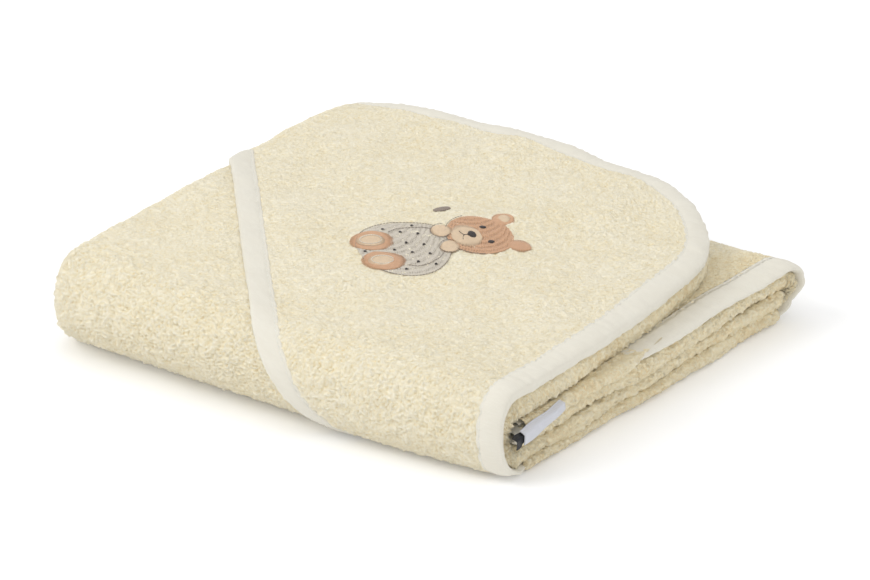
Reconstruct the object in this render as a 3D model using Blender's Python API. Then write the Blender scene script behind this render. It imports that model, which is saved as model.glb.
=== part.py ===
"""Hooded baby towel, folded in three both ways into a pack that stands on its outer face.

The cloth is described flat and then folded. x runs along the pack. s runs over the outer surface from
the top of the front fold: positive over the hood flap, negative down round the front fold, along the
base, up round the back fold and back over the middle flap. depth is measured inwards from the outer
surface of the terry, so the hood panel, which is sewn over it, has a negative depth.
"""
import math

import bmesh
import bpy
from mathutils import Matrix, Vector

# Driving dimensions, in metres
PACK_LENGTH = 0.275
PACK_WIDTH = 0.265
GAP = 0.0003
OUTER_LAYER = 0.0048          # one layer of terry under its own weight
INNER_LAYERS = 0.0102         # the two layers of the turned-in panels
HOOD_LAYER = 0.0030
BINDING_WIDTH = 0.0125
HOOD_CORNER_RADIUS = 0.082    # the towel's rounded corner
EDGE_A_Y = 0.130              # where the hood flap ends at the back
HYPOTENUSE_Y = 0.0213         # where the hood's opening edge meets the creased end
HYPOTENUSE_SLOPE = 0.905      # its run across the pack for each step along it
CREASE_INSET = 0.0050         # how far the inner crease stays behind the bound edge
MIDDLE_END_Y = -0.1035        # free end of the middle flap, inside the front fold
HINGE_TURN = math.radians(60) # each of the front fold's three bends
FACET = math.radians(10)

# Worked out from them
HALF_X = PACK_LENGTH / 2
FLAP = OUTER_LAYER + GAP + INNER_LAYERS
MIDDLE_TOP = 2 * FLAP + GAP
PACK_TOP = 3 * FLAP + 2 * GAP
HOOD_DEPTH = -(HOOD_LAYER + GAP)
FRONT_RADIUS = PACK_TOP / 2
HINGE_RADIUS = FRONT_RADIUS - HOOD_DEPTH
BACK_RADIUS = MIDDLE_TOP / 2
FRONT_Y = -PACK_WIDTH / 2 + HINGE_RADIUS
BACK_Y = PACK_WIDTH / 2 - BACK_RADIUS
FRONT_ARC = math.pi * FRONT_RADIUS
BACK_ARC = math.pi * BACK_RADIUS
BASE_LENGTH = BACK_Y - FRONT_Y
S_BASE = -FRONT_ARC                   # the base starts here
S_BACK = S_BASE - BASE_LENGTH         # and ends here
S_MIDDLE = S_BACK - BACK_ARC          # the middle flap starts here
S_END = S_MIDDLE - (BACK_Y - MIDDLE_END_Y)
CORNER_Y = EDGE_A_Y - HOOD_CORNER_RADIUS
LEFT = -HALF_X + FLAP / 2             # flat layers end here and turn over in a crease
EDGE_B_STRAIGHT_Y = -0.070
EDGE_B_TILT = 0.105           # how fast the bound edge leans in beyond there
EDGE_B_EASE = 0.045           # and over what length the lean sets in

# Colours
CREAM = (0.86, 0.80, 0.66)
TAPE = (0.88, 0.86, 0.78)
LABEL_WHITE = (0.90, 0.90, 0.90)
LABEL_BLACK = (0.02, 0.02, 0.025)
OATMEAL = (0.62, 0.57, 0.49)
TAN = (0.62, 0.38, 0.23)
PALE_TAN = (0.74, 0.58, 0.40)
DARK = (0.04, 0.03, 0.03)
TAUPE = (0.33, 0.28, 0.24)


def folded(x, s, depth):
    """World position of the cloth point at x, s and depth."""
    if s >= 0:
        return Vector((x, FRONT_Y + s, PACK_TOP - depth))
    if s >= S_BASE:
        turn = math.pi / 2 - s / FRONT_RADIUS
        r = FRONT_RADIUS - depth
        return Vector((x, FRONT_Y + r * math.cos(turn), FRONT_RADIUS + r * math.sin(turn)))
    if s >= S_BACK:
        return Vector((x, FRONT_Y + (S_BASE - s), depth))
    if s >= S_MIDDLE:
        turn = (S_BACK - s) / BACK_RADIUS - math.pi / 2
        r = BACK_RADIUS - depth
        return Vector((x, BACK_Y + r * math.cos(turn), BACK_RADIUS + r * math.sin(turn)))
    return Vector((x, BACK_Y - (S_MIDDLE - s), MIDDLE_TOP - depth))


def at_y(y):
    """s of the hood flap's top at a world y."""
    return y - FRONT_Y


def turned(degrees):
    """s at an angle down from the top of the front fold."""
    return -FRONT_RADIUS * math.radians(degrees)


def material(name, colour, roughness=0.9):
    """A plain cloth material."""
    made = bpy.data.materials.get(name) or bpy.data.materials.new(name)
    made.use_nodes = True
    shader = made.node_tree.nodes["Principled BSDF"]
    shader.inputs["Base Color"].default_value = (*colour, 1.0)
    shader.inputs["Roughness"].default_value = roughness
    shader.inputs["Metallic"].default_value = 0.0
    return made


class Towel:
    """Collects the sub-parts and hangs each on its fold's empty."""

    def __init__(self):
        self.collection = bpy.data.collections.new("hooded_baby_towel")
        bpy.context.scene.collection.children.link(self.collection)
        self.bodies = {"base": None}
        parent = None
        for name, degrees in (("fold_lower", 150), ("fold_upper", 90), ("hood_flap", 30)):
            pivot = bpy.data.objects.new(f"{name}_pivot", None)
            self.collection.objects.link(pivot)
            pivot.location = folded(0.0, turned(degrees), HOOD_DEPTH)
            if parent:
                pivot.location -= folded(0.0, turned(degrees + 60), HOOD_DEPTH)
                pivot.parent = parent
            self.bodies[name] = parent = pivot
        bpy.context.view_layer.update()

    def add(self, name, body, mesh, colour):
        """Makes mesh, given in world coordinates, an object of the body."""
        pivot = self.bodies[body]
        obj = bpy.data.objects.new(name, mesh)
        self.collection.objects.link(obj)
        if pivot:
            mesh.transform(Matrix.Translation(-pivot.matrix_world.translation))
            obj.parent = pivot
        obj.data.materials.append(material(*colour))
        return obj

    def cloth(self, name, body, rows, depths, colour):
        """A closed block of cloth whose grid of (x, s) rows is bent through the folds."""
        columns, lines = len(rows[0]), len(rows)
        bm = bmesh.new()
        bmesh.ops.create_grid(bm, x_segments=columns - 1, y_segments=lines - 1, size=1.0)
        top = bmesh.ops.extrude_face_region(bm, geom=bm.faces[:])
        for v in top["geom"]:
            if isinstance(v, bmesh.types.BMVert):
                v.co.z = 1.0
        for v in bm.verts:
            x, s = rows[round((v.co.y + 1) / 2 * (lines - 1))][round((v.co.x + 1) / 2 * (columns - 1))]
            v.co = folded(x, s, depths[0] if v.co.z > 0.5 else depths[1])
        bmesh.ops.recalc_face_normals(bm, faces=bm.faces[:])
        if bm.calc_volume(signed=True) < 0:
            bmesh.ops.reverse_faces(bm, faces=bm.faces[:])
        mesh = bpy.data.meshes.new(name)
        bm.to_mesh(mesh)
        bm.free()
        return self.add(name, body, mesh, colour)

    def crease(self, name, body, run, depths, colour):
        """The half-round roll along the creased end, where layers at depths turn over."""
        bm = bmesh.new()
        count = 9
        bmesh.ops.create_grid(bm, x_segments=count, y_segments=len(run) - 1, size=1.0)
        middle, half = sum(depths) / 2, (depths[1] - depths[0]) / 2
        for v in bm.verts:
            step = round((v.co.x + 1) / 2 * count) % count
            angle = math.pi * step / (count - 1)
            x = LEFT - GAP - (FLAP / 2 - GAP) * math.sin(angle)
            v.co = folded(x, run[round((v.co.y + 1) / 2 * (len(run) - 1))], middle - half * math.cos(angle))
        bmesh.ops.remove_doubles(bm, verts=bm.verts[:], dist=1e-6)
        bmesh.ops.holes_fill(bm, edges=[e for e in bm.edges if e.is_boundary], sides=0)
        bmesh.ops.recalc_face_normals(bm, faces=bm.faces[:])
        if bm.calc_volume(signed=True) < 0:
            bmesh.ops.reverse_faces(bm, faces=bm.faces[:])
        mesh = bpy.data.meshes.new(name)
        bm.to_mesh(mesh)
        bm.free()
        return self.add(name, body, mesh, colour)

    def patch(self, name, body, centre, radii, angle, base, thickness, colour):
        """An oval of embroidery on the hood, from base above it."""
        bm = bmesh.new()
        bmesh.ops.create_cone(bm, cap_ends=True, segments=28, radius1=1.0, radius2=1.0, depth=thickness)
        bmesh.ops.scale(bm, vec=(radii[0], radii[1], 1.0), verts=bm.verts)
        bmesh.ops.rotate(bm, matrix=Matrix.Rotation(angle, 3, "Z"), verts=bm.verts)
        z = PACK_TOP - HOOD_DEPTH + base + thickness / 2
        bmesh.ops.translate(bm, vec=(centre[0], centre[1], z), verts=bm.verts)
        mesh = bpy.data.meshes.new(name)
        bm.to_mesh(mesh)
        bm.free()
        return self.add(name, "hood_flap", mesh, colour)


def leaning_x(y):
    """Line that the bound edge of the hood flap leans along, before its corner is rounded."""
    past = max(0.0, y - EDGE_B_STRAIGHT_Y)
    return HALF_X - EDGE_B_TILT * past * past / (past + EDGE_B_EASE)


def edge_x(s, inset=0.0):
    """Bound +X edge of the outer panel at s, moved in by inset."""
    if s <= 0:
        return HALF_X - inset
    y = FRONT_Y + s
    r = HOOD_CORNER_RADIUS - inset
    rise = min(max(0.0, y - CORNER_Y), r)
    return leaning_x(y) - HOOD_CORNER_RADIUS + math.sqrt(r * r - rise * rise)


def hypotenuse_x(s, shift=0.0):
    """Hood's opening edge at s, moved towards the hood's corner by shift along x."""
    return max(LEFT, -HALF_X + HYPOTENUSE_SLOPE * (at_y(HYPOTENUSE_Y) - max(s, 0.0)) - min(s, 0.0) + shift)


def spread(start, stop, step):
    """Evenly spaced values from start to stop, no further apart than step."""
    count = max(1, math.ceil(abs(stop - start) / step))
    return [start + (stop - start) * i / count for i in range(count + 1)]


def joined(*runs):
    """Runs of values end to end, each shared end once."""
    values = list(runs[0])
    for run in runs[1:]:
        values += run[1:]
    return values


def front_run(top, bottom):
    """s values round the front fold between two angles down from its top, half a gap short at each."""
    half = GAP / 2
    return spread(turned(top) - half, turned(bottom) + half, FRONT_RADIUS * FACET)


def back_run():
    """s values round the back fold."""
    return spread(S_BACK - GAP / 2, S_MIDDLE + GAP / 2, BACK_RADIUS * FACET * 1.5)


def strip(values, low, high):
    """Rows of two (x, s) points, where low and high are lengths or functions of s."""
    def read(edge, s):
        return edge(s) if callable(edge) else edge
    return [[(read(low, s), s), (read(high, s), s)] for s in values]


def hood_rows():
    """s values over the hood flap, closer together round the corner."""
    r = HOOD_CORNER_RADIUS - BINDING_WIDTH - GAP
    corner = [at_y(CORNER_Y + r * math.sin(a)) for a in corner_angles()]
    straight = spread(at_y(EDGE_B_STRAIGHT_Y), at_y(CORNER_Y), 0.024)
    return joined([0.0, at_y(EDGE_B_STRAIGHT_Y)], straight, corner)


def corner_angles():
    """Angles at which the rounded corner is drawn."""
    return spread(0.0, math.pi / 2, FACET * 1.2)


def rim():
    """Rows of two (x, s) points, across the hood flap's bound edge from outside to inside."""
    rows = []
    straight = spread(at_y(EDGE_B_STRAIGHT_Y), at_y(CORNER_Y), 0.024)
    for s in front_run(0, 30)[::-1][:-1] + [0.0] + straight[:-1]:
        rows.append([(edge_x(s), s), (edge_x(s, BINDING_WIDTH), s)])
    for a in corner_angles():
        row = []
        for r in (HOOD_CORNER_RADIUS, HOOD_CORNER_RADIUS - BINDING_WIDTH):
            y = CORNER_Y + r * math.sin(a)
            row.append((leaning_x(y) - HOOD_CORNER_RADIUS + r * math.cos(a), at_y(y)))
        rows.append(row)
    rows.append([(LEFT, at_y(EDGE_A_Y)), (LEFT, at_y(EDGE_A_Y - BINDING_WIDTH))])
    return rows


def build():
    """Makes every sub-part."""
    for obj in list(bpy.data.objects):
        bpy.data.objects.remove(obj, do_unlink=True)
    towel = Towel()
    terry = ("terry_cream", CREAM)
    tape = ("cotton_tape", TAPE, 0.75)
    outer = (0.0, OUTER_LAYER)
    inner = (OUTER_LAYER + GAP, FLAP)
    hood = (HOOD_DEPTH, -GAP)
    bound = (HOOD_DEPTH, OUTER_LAYER)
    toe = front_run(150, 180)
    lower, upper, brow = front_run(90, 150), front_run(30, 90), front_run(0, 30)
    tape_edge = HALF_X - BINDING_WIDTH
    terry_edge = tape_edge - GAP
    crease = HALF_X - CREASE_INSET
    base = joined(toe[:-1] + [S_BASE], [S_BASE, S_BACK + GAP / 2])
    middle = [S_MIDDLE - GAP / 2, S_END]
    hood_top = hood_rows()
    hood_line = brow[::-1][:-1] + hood_top

    # Base third, back fold and middle flap: outer terry, its binding, and the turned-in panels
    for name, run in (("base", base), ("back_fold", back_run())):
        towel.cloth(f"terry_{name}_outer", "base", strip(run, LEFT, terry_edge), outer, terry)
        towel.cloth(f"terry_{name}_inner", "base", strip(run, LEFT, crease), inner, terry)
        towel.cloth(f"binding_{name}", "base", strip(run, tape_edge, HALF_X), outer, tape)
    short = [middle[0], S_END + BINDING_WIDTH + GAP]
    towel.cloth("terry_middle_flap_outer", "base", strip(short, LEFT, terry_edge), outer, terry)
    towel.cloth("terry_middle_flap_inner", "base", strip(short, LEFT, crease), inner, terry)
    towel.cloth("binding_middle_flap_side", "base", strip(short, tape_edge, HALF_X), outer, tape)
    last = [S_END + BINDING_WIDTH, S_END]
    towel.cloth("binding_middle_flap_end", "base", strip(last, LEFT, HALF_X), outer, tape)
    towel.cloth("binding_middle_flap_end_inner", "base", strip(last, LEFT, crease), inner, tape)

    # Front fold: two turning thirds, each with terry, hood panel, hood binding and edge binding
    wide = BINDING_WIDTH * math.sqrt(2)
    for name, run in (("fold_lower", lower), ("fold_upper", upper)):
        towel.cloth(f"terry_{name}_outer", name, strip(run, LEFT, terry_edge), outer, terry)
        towel.cloth(f"terry_{name}_inner", name, strip(run, LEFT, crease), inner, terry)
        towel.cloth(f"hood_panel_{name}", name,
                    strip(run, lambda s: hypotenuse_x(s, wide + GAP), terry_edge), hood, terry)
        towel.cloth(f"hood_binding_{name}", name,
                    strip(run, hypotenuse_x, lambda s: hypotenuse_x(s, wide)), hood, tape)
        towel.cloth(f"binding_{name}", name, strip(run, tape_edge, HALF_X), bound, tape)

    # Hood flap
    clear = BINDING_WIDTH + GAP
    flap_edge = [(s, edge_x(s, clear)) for s in hood_line]
    top_rows = [[(LEFT, s), (x, s)] for s, x in flap_edge]
    towel.cloth("terry_hood_flap_outer", "hood_flap", top_rows, outer, terry)
    inner_rows = [[(LEFT, s), (min(crease, x + BINDING_WIDTH), s)] for s, x in flap_edge]
    towel.cloth("terry_hood_flap_inner", "hood_flap", inner_rows, inner, terry)
    meet = at_y(HYPOTENUSE_Y) - FLAP / 2 / HYPOTENUSE_SLOPE
    hood_s = sorted(set(s for s in hood_line) | {meet, meet + wide + GAP})
    panel_rows = [[(hypotenuse_x(s, wide + GAP), s), (edge_x(s, clear), s)] for s in hood_s]
    towel.cloth("hood_panel_flap", "hood_flap", panel_rows, hood, terry)
    tape_s = [s for s in hood_line if s < meet] + [meet]
    tape_rows = [[(hypotenuse_x(s), s), (hypotenuse_x(s, wide), s)] for s in tape_s]
    tape_rows.append([(LEFT, meet + wide * 0.98), (LEFT + wide * 0.02, meet + wide * 0.98)])
    towel.cloth("hood_binding_flap", "hood_flap", tape_rows, hood, tape)
    towel.cloth("binding_hood_flap", "hood_flap", rim(), bound, tape)

    # The creased end, rolled over all the layers of each fold
    whole = (0.0, FLAP)
    for name, body, run in (("base", "base", base), ("back_fold", "base", back_run()),
                            ("middle_flap", "base", middle), ("fold_lower", "fold_lower", lower),
                            ("fold_upper", "fold_upper", upper),
                            ("hood_flap", "hood_flap", joined(brow[::-1][:-1] + [0.0], [0.0, meet - GAP]))):
        towel.crease(f"crease_{name}", body, run, whole, terry)
    towel.crease("crease_hood", "hood_flap", [meet, at_y(EDGE_A_Y)], (HOOD_DEPTH, FLAP), terry)

    # Woven labels, hanging over the middle flap's crease
    add_label(towel, "brand_label", (crease + 0.0007, -0.084, 0.0215), (0.0005, 0.038, 0.0078),
              ("woven_label", LABEL_WHITE))
    add_label(towel, "care_label", (crease + 0.0017, -0.0985, 0.0205), (0.0005, 0.011, 0.0062),
              ("printed_label", LABEL_BLACK, 0.6))

    embroider(towel)


def add_label(towel, name, centre, size, colour):
    """A small upright plate of woven ribbon."""
    bm = bmesh.new()
    bmesh.ops.create_cube(bm, size=1.0)
    bmesh.ops.scale(bm, vec=size, verts=bm.verts)
    bmesh.ops.translate(bm, vec=centre, verts=bm.verts)
    mesh = bpy.data.meshes.new(name)
    bm.to_mesh(mesh)
    bm.free()
    towel.add(name, "base", mesh, colour)


def embroider(towel):
    """A sitting teddy in satin and fill stitch, its head towards the hood's corner."""
    lean = math.radians(54)
    seat = Vector((-0.003, -0.029))
    along = Vector((math.cos(lean), math.sin(lean)))
    across = Vector((-math.sin(lean), math.cos(lean)))
    low, thread = GAP, 0.0005
    mid = low + thread + GAP
    high = mid + thread + GAP
    grey, tan, pale = ("thread_oatmeal", OATMEAL), ("thread_tan", TAN), ("thread_pale_tan", PALE_TAN)
    dark, taupe = ("thread_dark", DARK), ("thread_taupe", TAUPE)
    parts = (
        ("bear_body", (0.0140, 0.000), (0.0225, 0.0320), low, grey),
        ("bear_head", (0.0550, 0.000), (0.0175, 0.0195), low, tan),
        ("bear_ear_left", (0.0754, 0.0153), (0.0056, 0.0066), low, tan),
        ("bear_ear_right", (0.0754, -0.0153), (0.0056, 0.0066), low, tan),
        ("bear_sole_left", (0.0000, 0.0105), (0.0108, 0.0094), mid, tan),
        ("bear_sole_right", (0.0000, -0.0105), (0.0108, 0.0094), mid, tan),
        ("bear_sole_pad_left", (-0.0005, 0.0105), (0.0070, 0.0053), high, pale),
        ("bear_sole_pad_right", (-0.0005, -0.0105), (0.0070, 0.0053), high, pale),
        ("bear_muzzle", (0.0480, 0.000), (0.0078, 0.0100), mid, pale),
        ("bear_nose", (0.0505, 0.000), (0.0022, 0.0032), high, dark),
        ("bear_eye_left", (0.0592, 0.0072), (0.0014, 0.0014), mid, dark),
        ("bear_eye_right", (0.0592, -0.0072), (0.0014, 0.0014), mid, dark),
        ("small_oval_motif", (0.0440, 0.0330), (0.0045, 0.0030), low, taupe),
    )
    for name, (a, c), (ra, rc), base, colour in parts:
        centre = seat + along * a + across * c
        towel.patch(name, centre=centre, body="hood_flap", radii=(ra, rc), angle=lean, base=base,
                    thickness=thread, colour=colour)


build()
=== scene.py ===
"""Folded hooded baby towel: its looks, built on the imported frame."""
import logging
import math
from dataclasses import dataclass, field
from enum import Enum
from typing import Callable, Iterable, Optional, Sequence, Union

import bpy
import numpy as np
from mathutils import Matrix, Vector


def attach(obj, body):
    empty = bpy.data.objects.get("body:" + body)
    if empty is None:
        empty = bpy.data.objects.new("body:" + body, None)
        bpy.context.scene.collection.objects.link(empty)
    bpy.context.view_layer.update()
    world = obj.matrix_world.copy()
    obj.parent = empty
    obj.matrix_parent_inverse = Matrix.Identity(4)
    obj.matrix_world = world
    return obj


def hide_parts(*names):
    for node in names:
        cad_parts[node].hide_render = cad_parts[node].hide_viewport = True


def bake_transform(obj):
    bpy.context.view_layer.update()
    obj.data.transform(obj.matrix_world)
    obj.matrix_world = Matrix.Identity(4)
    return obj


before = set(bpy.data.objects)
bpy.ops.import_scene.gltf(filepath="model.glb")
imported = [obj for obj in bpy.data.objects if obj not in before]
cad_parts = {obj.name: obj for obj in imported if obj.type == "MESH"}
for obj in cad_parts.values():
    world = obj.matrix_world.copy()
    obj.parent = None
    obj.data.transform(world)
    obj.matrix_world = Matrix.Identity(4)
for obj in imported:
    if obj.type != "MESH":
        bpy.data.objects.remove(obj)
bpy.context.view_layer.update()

log = logging.getLogger("towel")
Array = np.ndarray
Colour = tuple[float, float, float]
MM = 0.001


# ---------------------------------------------------------------- the fold

@dataclass(frozen=True)
class Fold:
    """Sizes of the folded towel, in metres, and where each point of its cloth lies."""

    length: float = 0.275
    width: float = 0.265
    gap: float = 0.0003
    outer_layer: float = 0.0048
    inner_layers: float = 0.0102
    hood_layer: float = 0.0030
    tape_width: float = 0.0125
    corner_radius: float = 0.082
    edge_a_y: float = 0.130
    hypotenuse_y: float = 0.0213
    hypotenuse_slope: float = 0.905
    hypotenuse_front_slope: float = 0.88
    turned_run: float = 0.128
    turned_ease: float = 0.050
    crease_inset: float = 0.0050
    middle_end_y: float = -0.1035
    edge_b_straight_y: float = -0.070
    edge_b_tilt: float = 0.105
    edge_b_ease: float = 0.045

    @property
    def half_x(self) -> float:
        """Half of the pack's length."""
        return self.length / 2

    @property
    def flap(self) -> float:
        """Thickness of one flap: three layers of terry."""
        return self.outer_layer + self.gap + self.inner_layers

    @property
    def middle_top(self) -> float:
        """Height of the middle flap's top."""
        return 2 * self.flap + self.gap

    @property
    def top(self) -> float:
        """Height of the pack without the hood panel."""
        return 3 * self.flap + 2 * self.gap

    @property
    def hood_lift(self) -> float:
        """Height of the hood panel's face over the towel's."""
        return self.hood_layer + self.gap

    @property
    def front_radius(self) -> float:
        """Outer radius of the front fold."""
        return self.top / 2

    @property
    def back_radius(self) -> float:
        """Outer radius of the back fold."""
        return self.middle_top / 2

    @property
    def front_y(self) -> float:
        """Axis of the front fold."""
        return -self.width / 2 + self.front_radius + self.hood_lift

    @property
    def back_y(self) -> float:
        """Axis of the back fold."""
        return self.width / 2 - self.back_radius

    @property
    def s_base(self) -> float:
        """Where the base starts, below the front fold."""
        return -math.pi * self.front_radius

    @property
    def s_back(self) -> float:
        """Where the back fold starts."""
        return self.s_base - (self.back_y - self.front_y)

    @property
    def s_middle(self) -> float:
        """Where the middle flap starts."""
        return self.s_back - math.pi * self.back_radius

    @property
    def s_end(self) -> float:
        """The middle flap's free end."""
        return self.s_middle - (self.back_y - self.middle_end_y)

    @property
    def s_top(self) -> float:
        """The hood flap's free end."""
        return self.at_y(self.edge_a_y)

    @property
    def left(self) -> float:
        """Where the flat layers turn over into the creased end."""
        return -self.half_x + self.flap / 2

    @property
    def corner_y(self) -> float:
        """Where the bound edge starts to turn round the hood's corner."""
        return self.edge_a_y - self.corner_radius

    @property
    def meet(self) -> float:
        """Where the hood's opening edge reaches the creased end."""
        return self.at_y(self.hypotenuse_y) - self.flap / 2 / self.hypotenuse_slope

    def at_y(self, y: float) -> float:
        """Run of the cloth at a world y on the hood flap's top."""
        return y - self.front_y

    def turned(self, degrees: float) -> float:
        """Run of the cloth at an angle down from the top of the front fold."""
        return -self.front_radius * math.radians(degrees)

    def place(self, x: Array, s: Array, depth: Array) -> Array:
        """Folds cloth points.

        Args:
            x: position across the pack.
            s: run along the cloth, 0 at the top of the front fold.
            depth: distance below the cloth's outer face.

        Returns:
            World positions, with a last axis of three.
        """
        x, s, depth = np.broadcast_arrays(np.asarray(x, float), s, depth)
        front = math.pi / 2 - s / self.front_radius
        back = (self.s_back - s) / self.back_radius - math.pi / 2
        near, far = self.front_radius - depth, self.back_radius - depth
        on = [s >= 0, s >= self.s_base, s >= self.s_back, s >= self.s_middle]
        y = np.select(on, [self.front_y + s, self.front_y + near * np.cos(front),
                           self.front_y + self.s_base - s, self.back_y + far * np.cos(back)],
                      self.back_y - (self.s_middle - s))
        z = np.select(on, [self.top - depth, self.front_radius + near * np.sin(front),
                           depth, self.back_radius + far * np.sin(back)],
                      self.middle_top - depth)
        return np.stack([x, y, z], -1)

    def leaning_x(self, y: Array) -> Array:
        """Line of the hood flap's bound edge, before its corner is rounded."""
        past = np.maximum(0.0, np.asarray(y, float) - self.edge_b_straight_y)
        return self.half_x - self.edge_b_tilt * past * past / (past + self.edge_b_ease)

    def edge_x(self, s: Array, inset: float = 0.0) -> Array:
        """Bound edge of the outer panel, moved in by inset.

        Args:
            s: run of the cloth.
            inset: how far in from the edge.

        Returns:
            World x of the edge.
        """
        y = self.front_y + np.asarray(s, float)
        r = self.corner_radius - inset
        rise = np.clip(y - self.corner_y, 0.0, r)
        rounded = self.leaning_x(y) - self.corner_radius + np.sqrt(r * r - rise * rise)
        return np.where(np.asarray(s) <= 0, self.half_x - inset, rounded)

    def edge_distance(self, x: Array, s: Array) -> Array:
        """Distance of first-panel points from the bound edge, and from both end edges.

        Args:
            x: position across the pack.
            s: run of the cloth.

        Returns:
            The nearest edge's distance in metres.
        """
        y = self.front_y + s
        side = np.where(s <= 0, self.half_x, self.leaning_x(y)) - x
        dx, dy = x - (self.leaning_x(y) - self.corner_radius), y - self.corner_y
        rounded = self.corner_radius - np.hypot(dx, dy)
        side = np.where((s > 0) & (dx > 0) & (dy > 0), rounded, side)
        return np.minimum(np.minimum(side, self.s_top - s), s - self.s_end)

    def turned_in(self, s: Array) -> Array:
        """1 where the bound edge is turned in, under the pack and in the front fold, 0 elsewhere."""
        s = np.asarray(s, float)
        below = ramp(self.s_base - 0.001 - s, 0.0, 0.012) * ramp(s - (self.s_back - 0.012), 0.0, 0.016)
        return below + ramp(self.s_end + self.turned_run - s, 0.0, self.turned_ease)

    def hypotenuse_x(self, s: Array) -> Array:
        """Flat position of the hood's opening edge; it runs on round the creased end."""
        s = np.asarray(s, float)
        on_top = self.hypotenuse_slope * (self.meet - np.maximum(s, 0.0))
        return self.left + on_top - self.hypotenuse_front_slope * np.minimum(s, 0.0)

    def hood_rise(self, s: Array) -> Array:
        """Height of the hood panel's face, pressed flat where the pack stands on it."""
        angle = np.clip(math.pi + np.asarray(s, float) / self.front_radius, 0.0, math.pi / 2 - 0.05)
        room = self.front_radius * (1 / np.cos(angle) - 1)
        return np.minimum(self.hood_lift, room)


FOLD = Fold()


@dataclass(frozen=True)
class Relief:
    """A smooth height over the pack, through a table of heights in millimetres."""

    table: tuple[tuple[float, ...], ...]
    order: int = 3

    def terms(self, x: Array, y: Array) -> Array:
        """Polynomial terms at points given from -1 to 1."""
        powers = [(i, j) for i in range(self.order + 1) for j in range(self.order + 1)]
        return np.stack([x ** i * y ** j for i, j in powers], -1)

    def at(self, x: Array, y: Array) -> Array:
        """Height in metres at world x and y.

        Args:
            x: world x.
            y: world y.

        Returns:
            Heights in metres.
        """
        rows = np.array(self.table)[::-1]
        gx, gy = np.meshgrid(np.linspace(-1, 1, rows.shape[1]), np.linspace(-1, 1, rows.shape[0]))
        fit = np.linalg.lstsq(self.terms(gx.ravel(), gy.ravel()), rows.ravel(), rcond=None)[0]
        u = np.clip(x / FOLD.half_x, -1.05, 1.05)
        v = np.clip(y / (FOLD.width / 2), -1.1, 1.1)
        return self.terms(u, v) @ fit * MM


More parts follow.
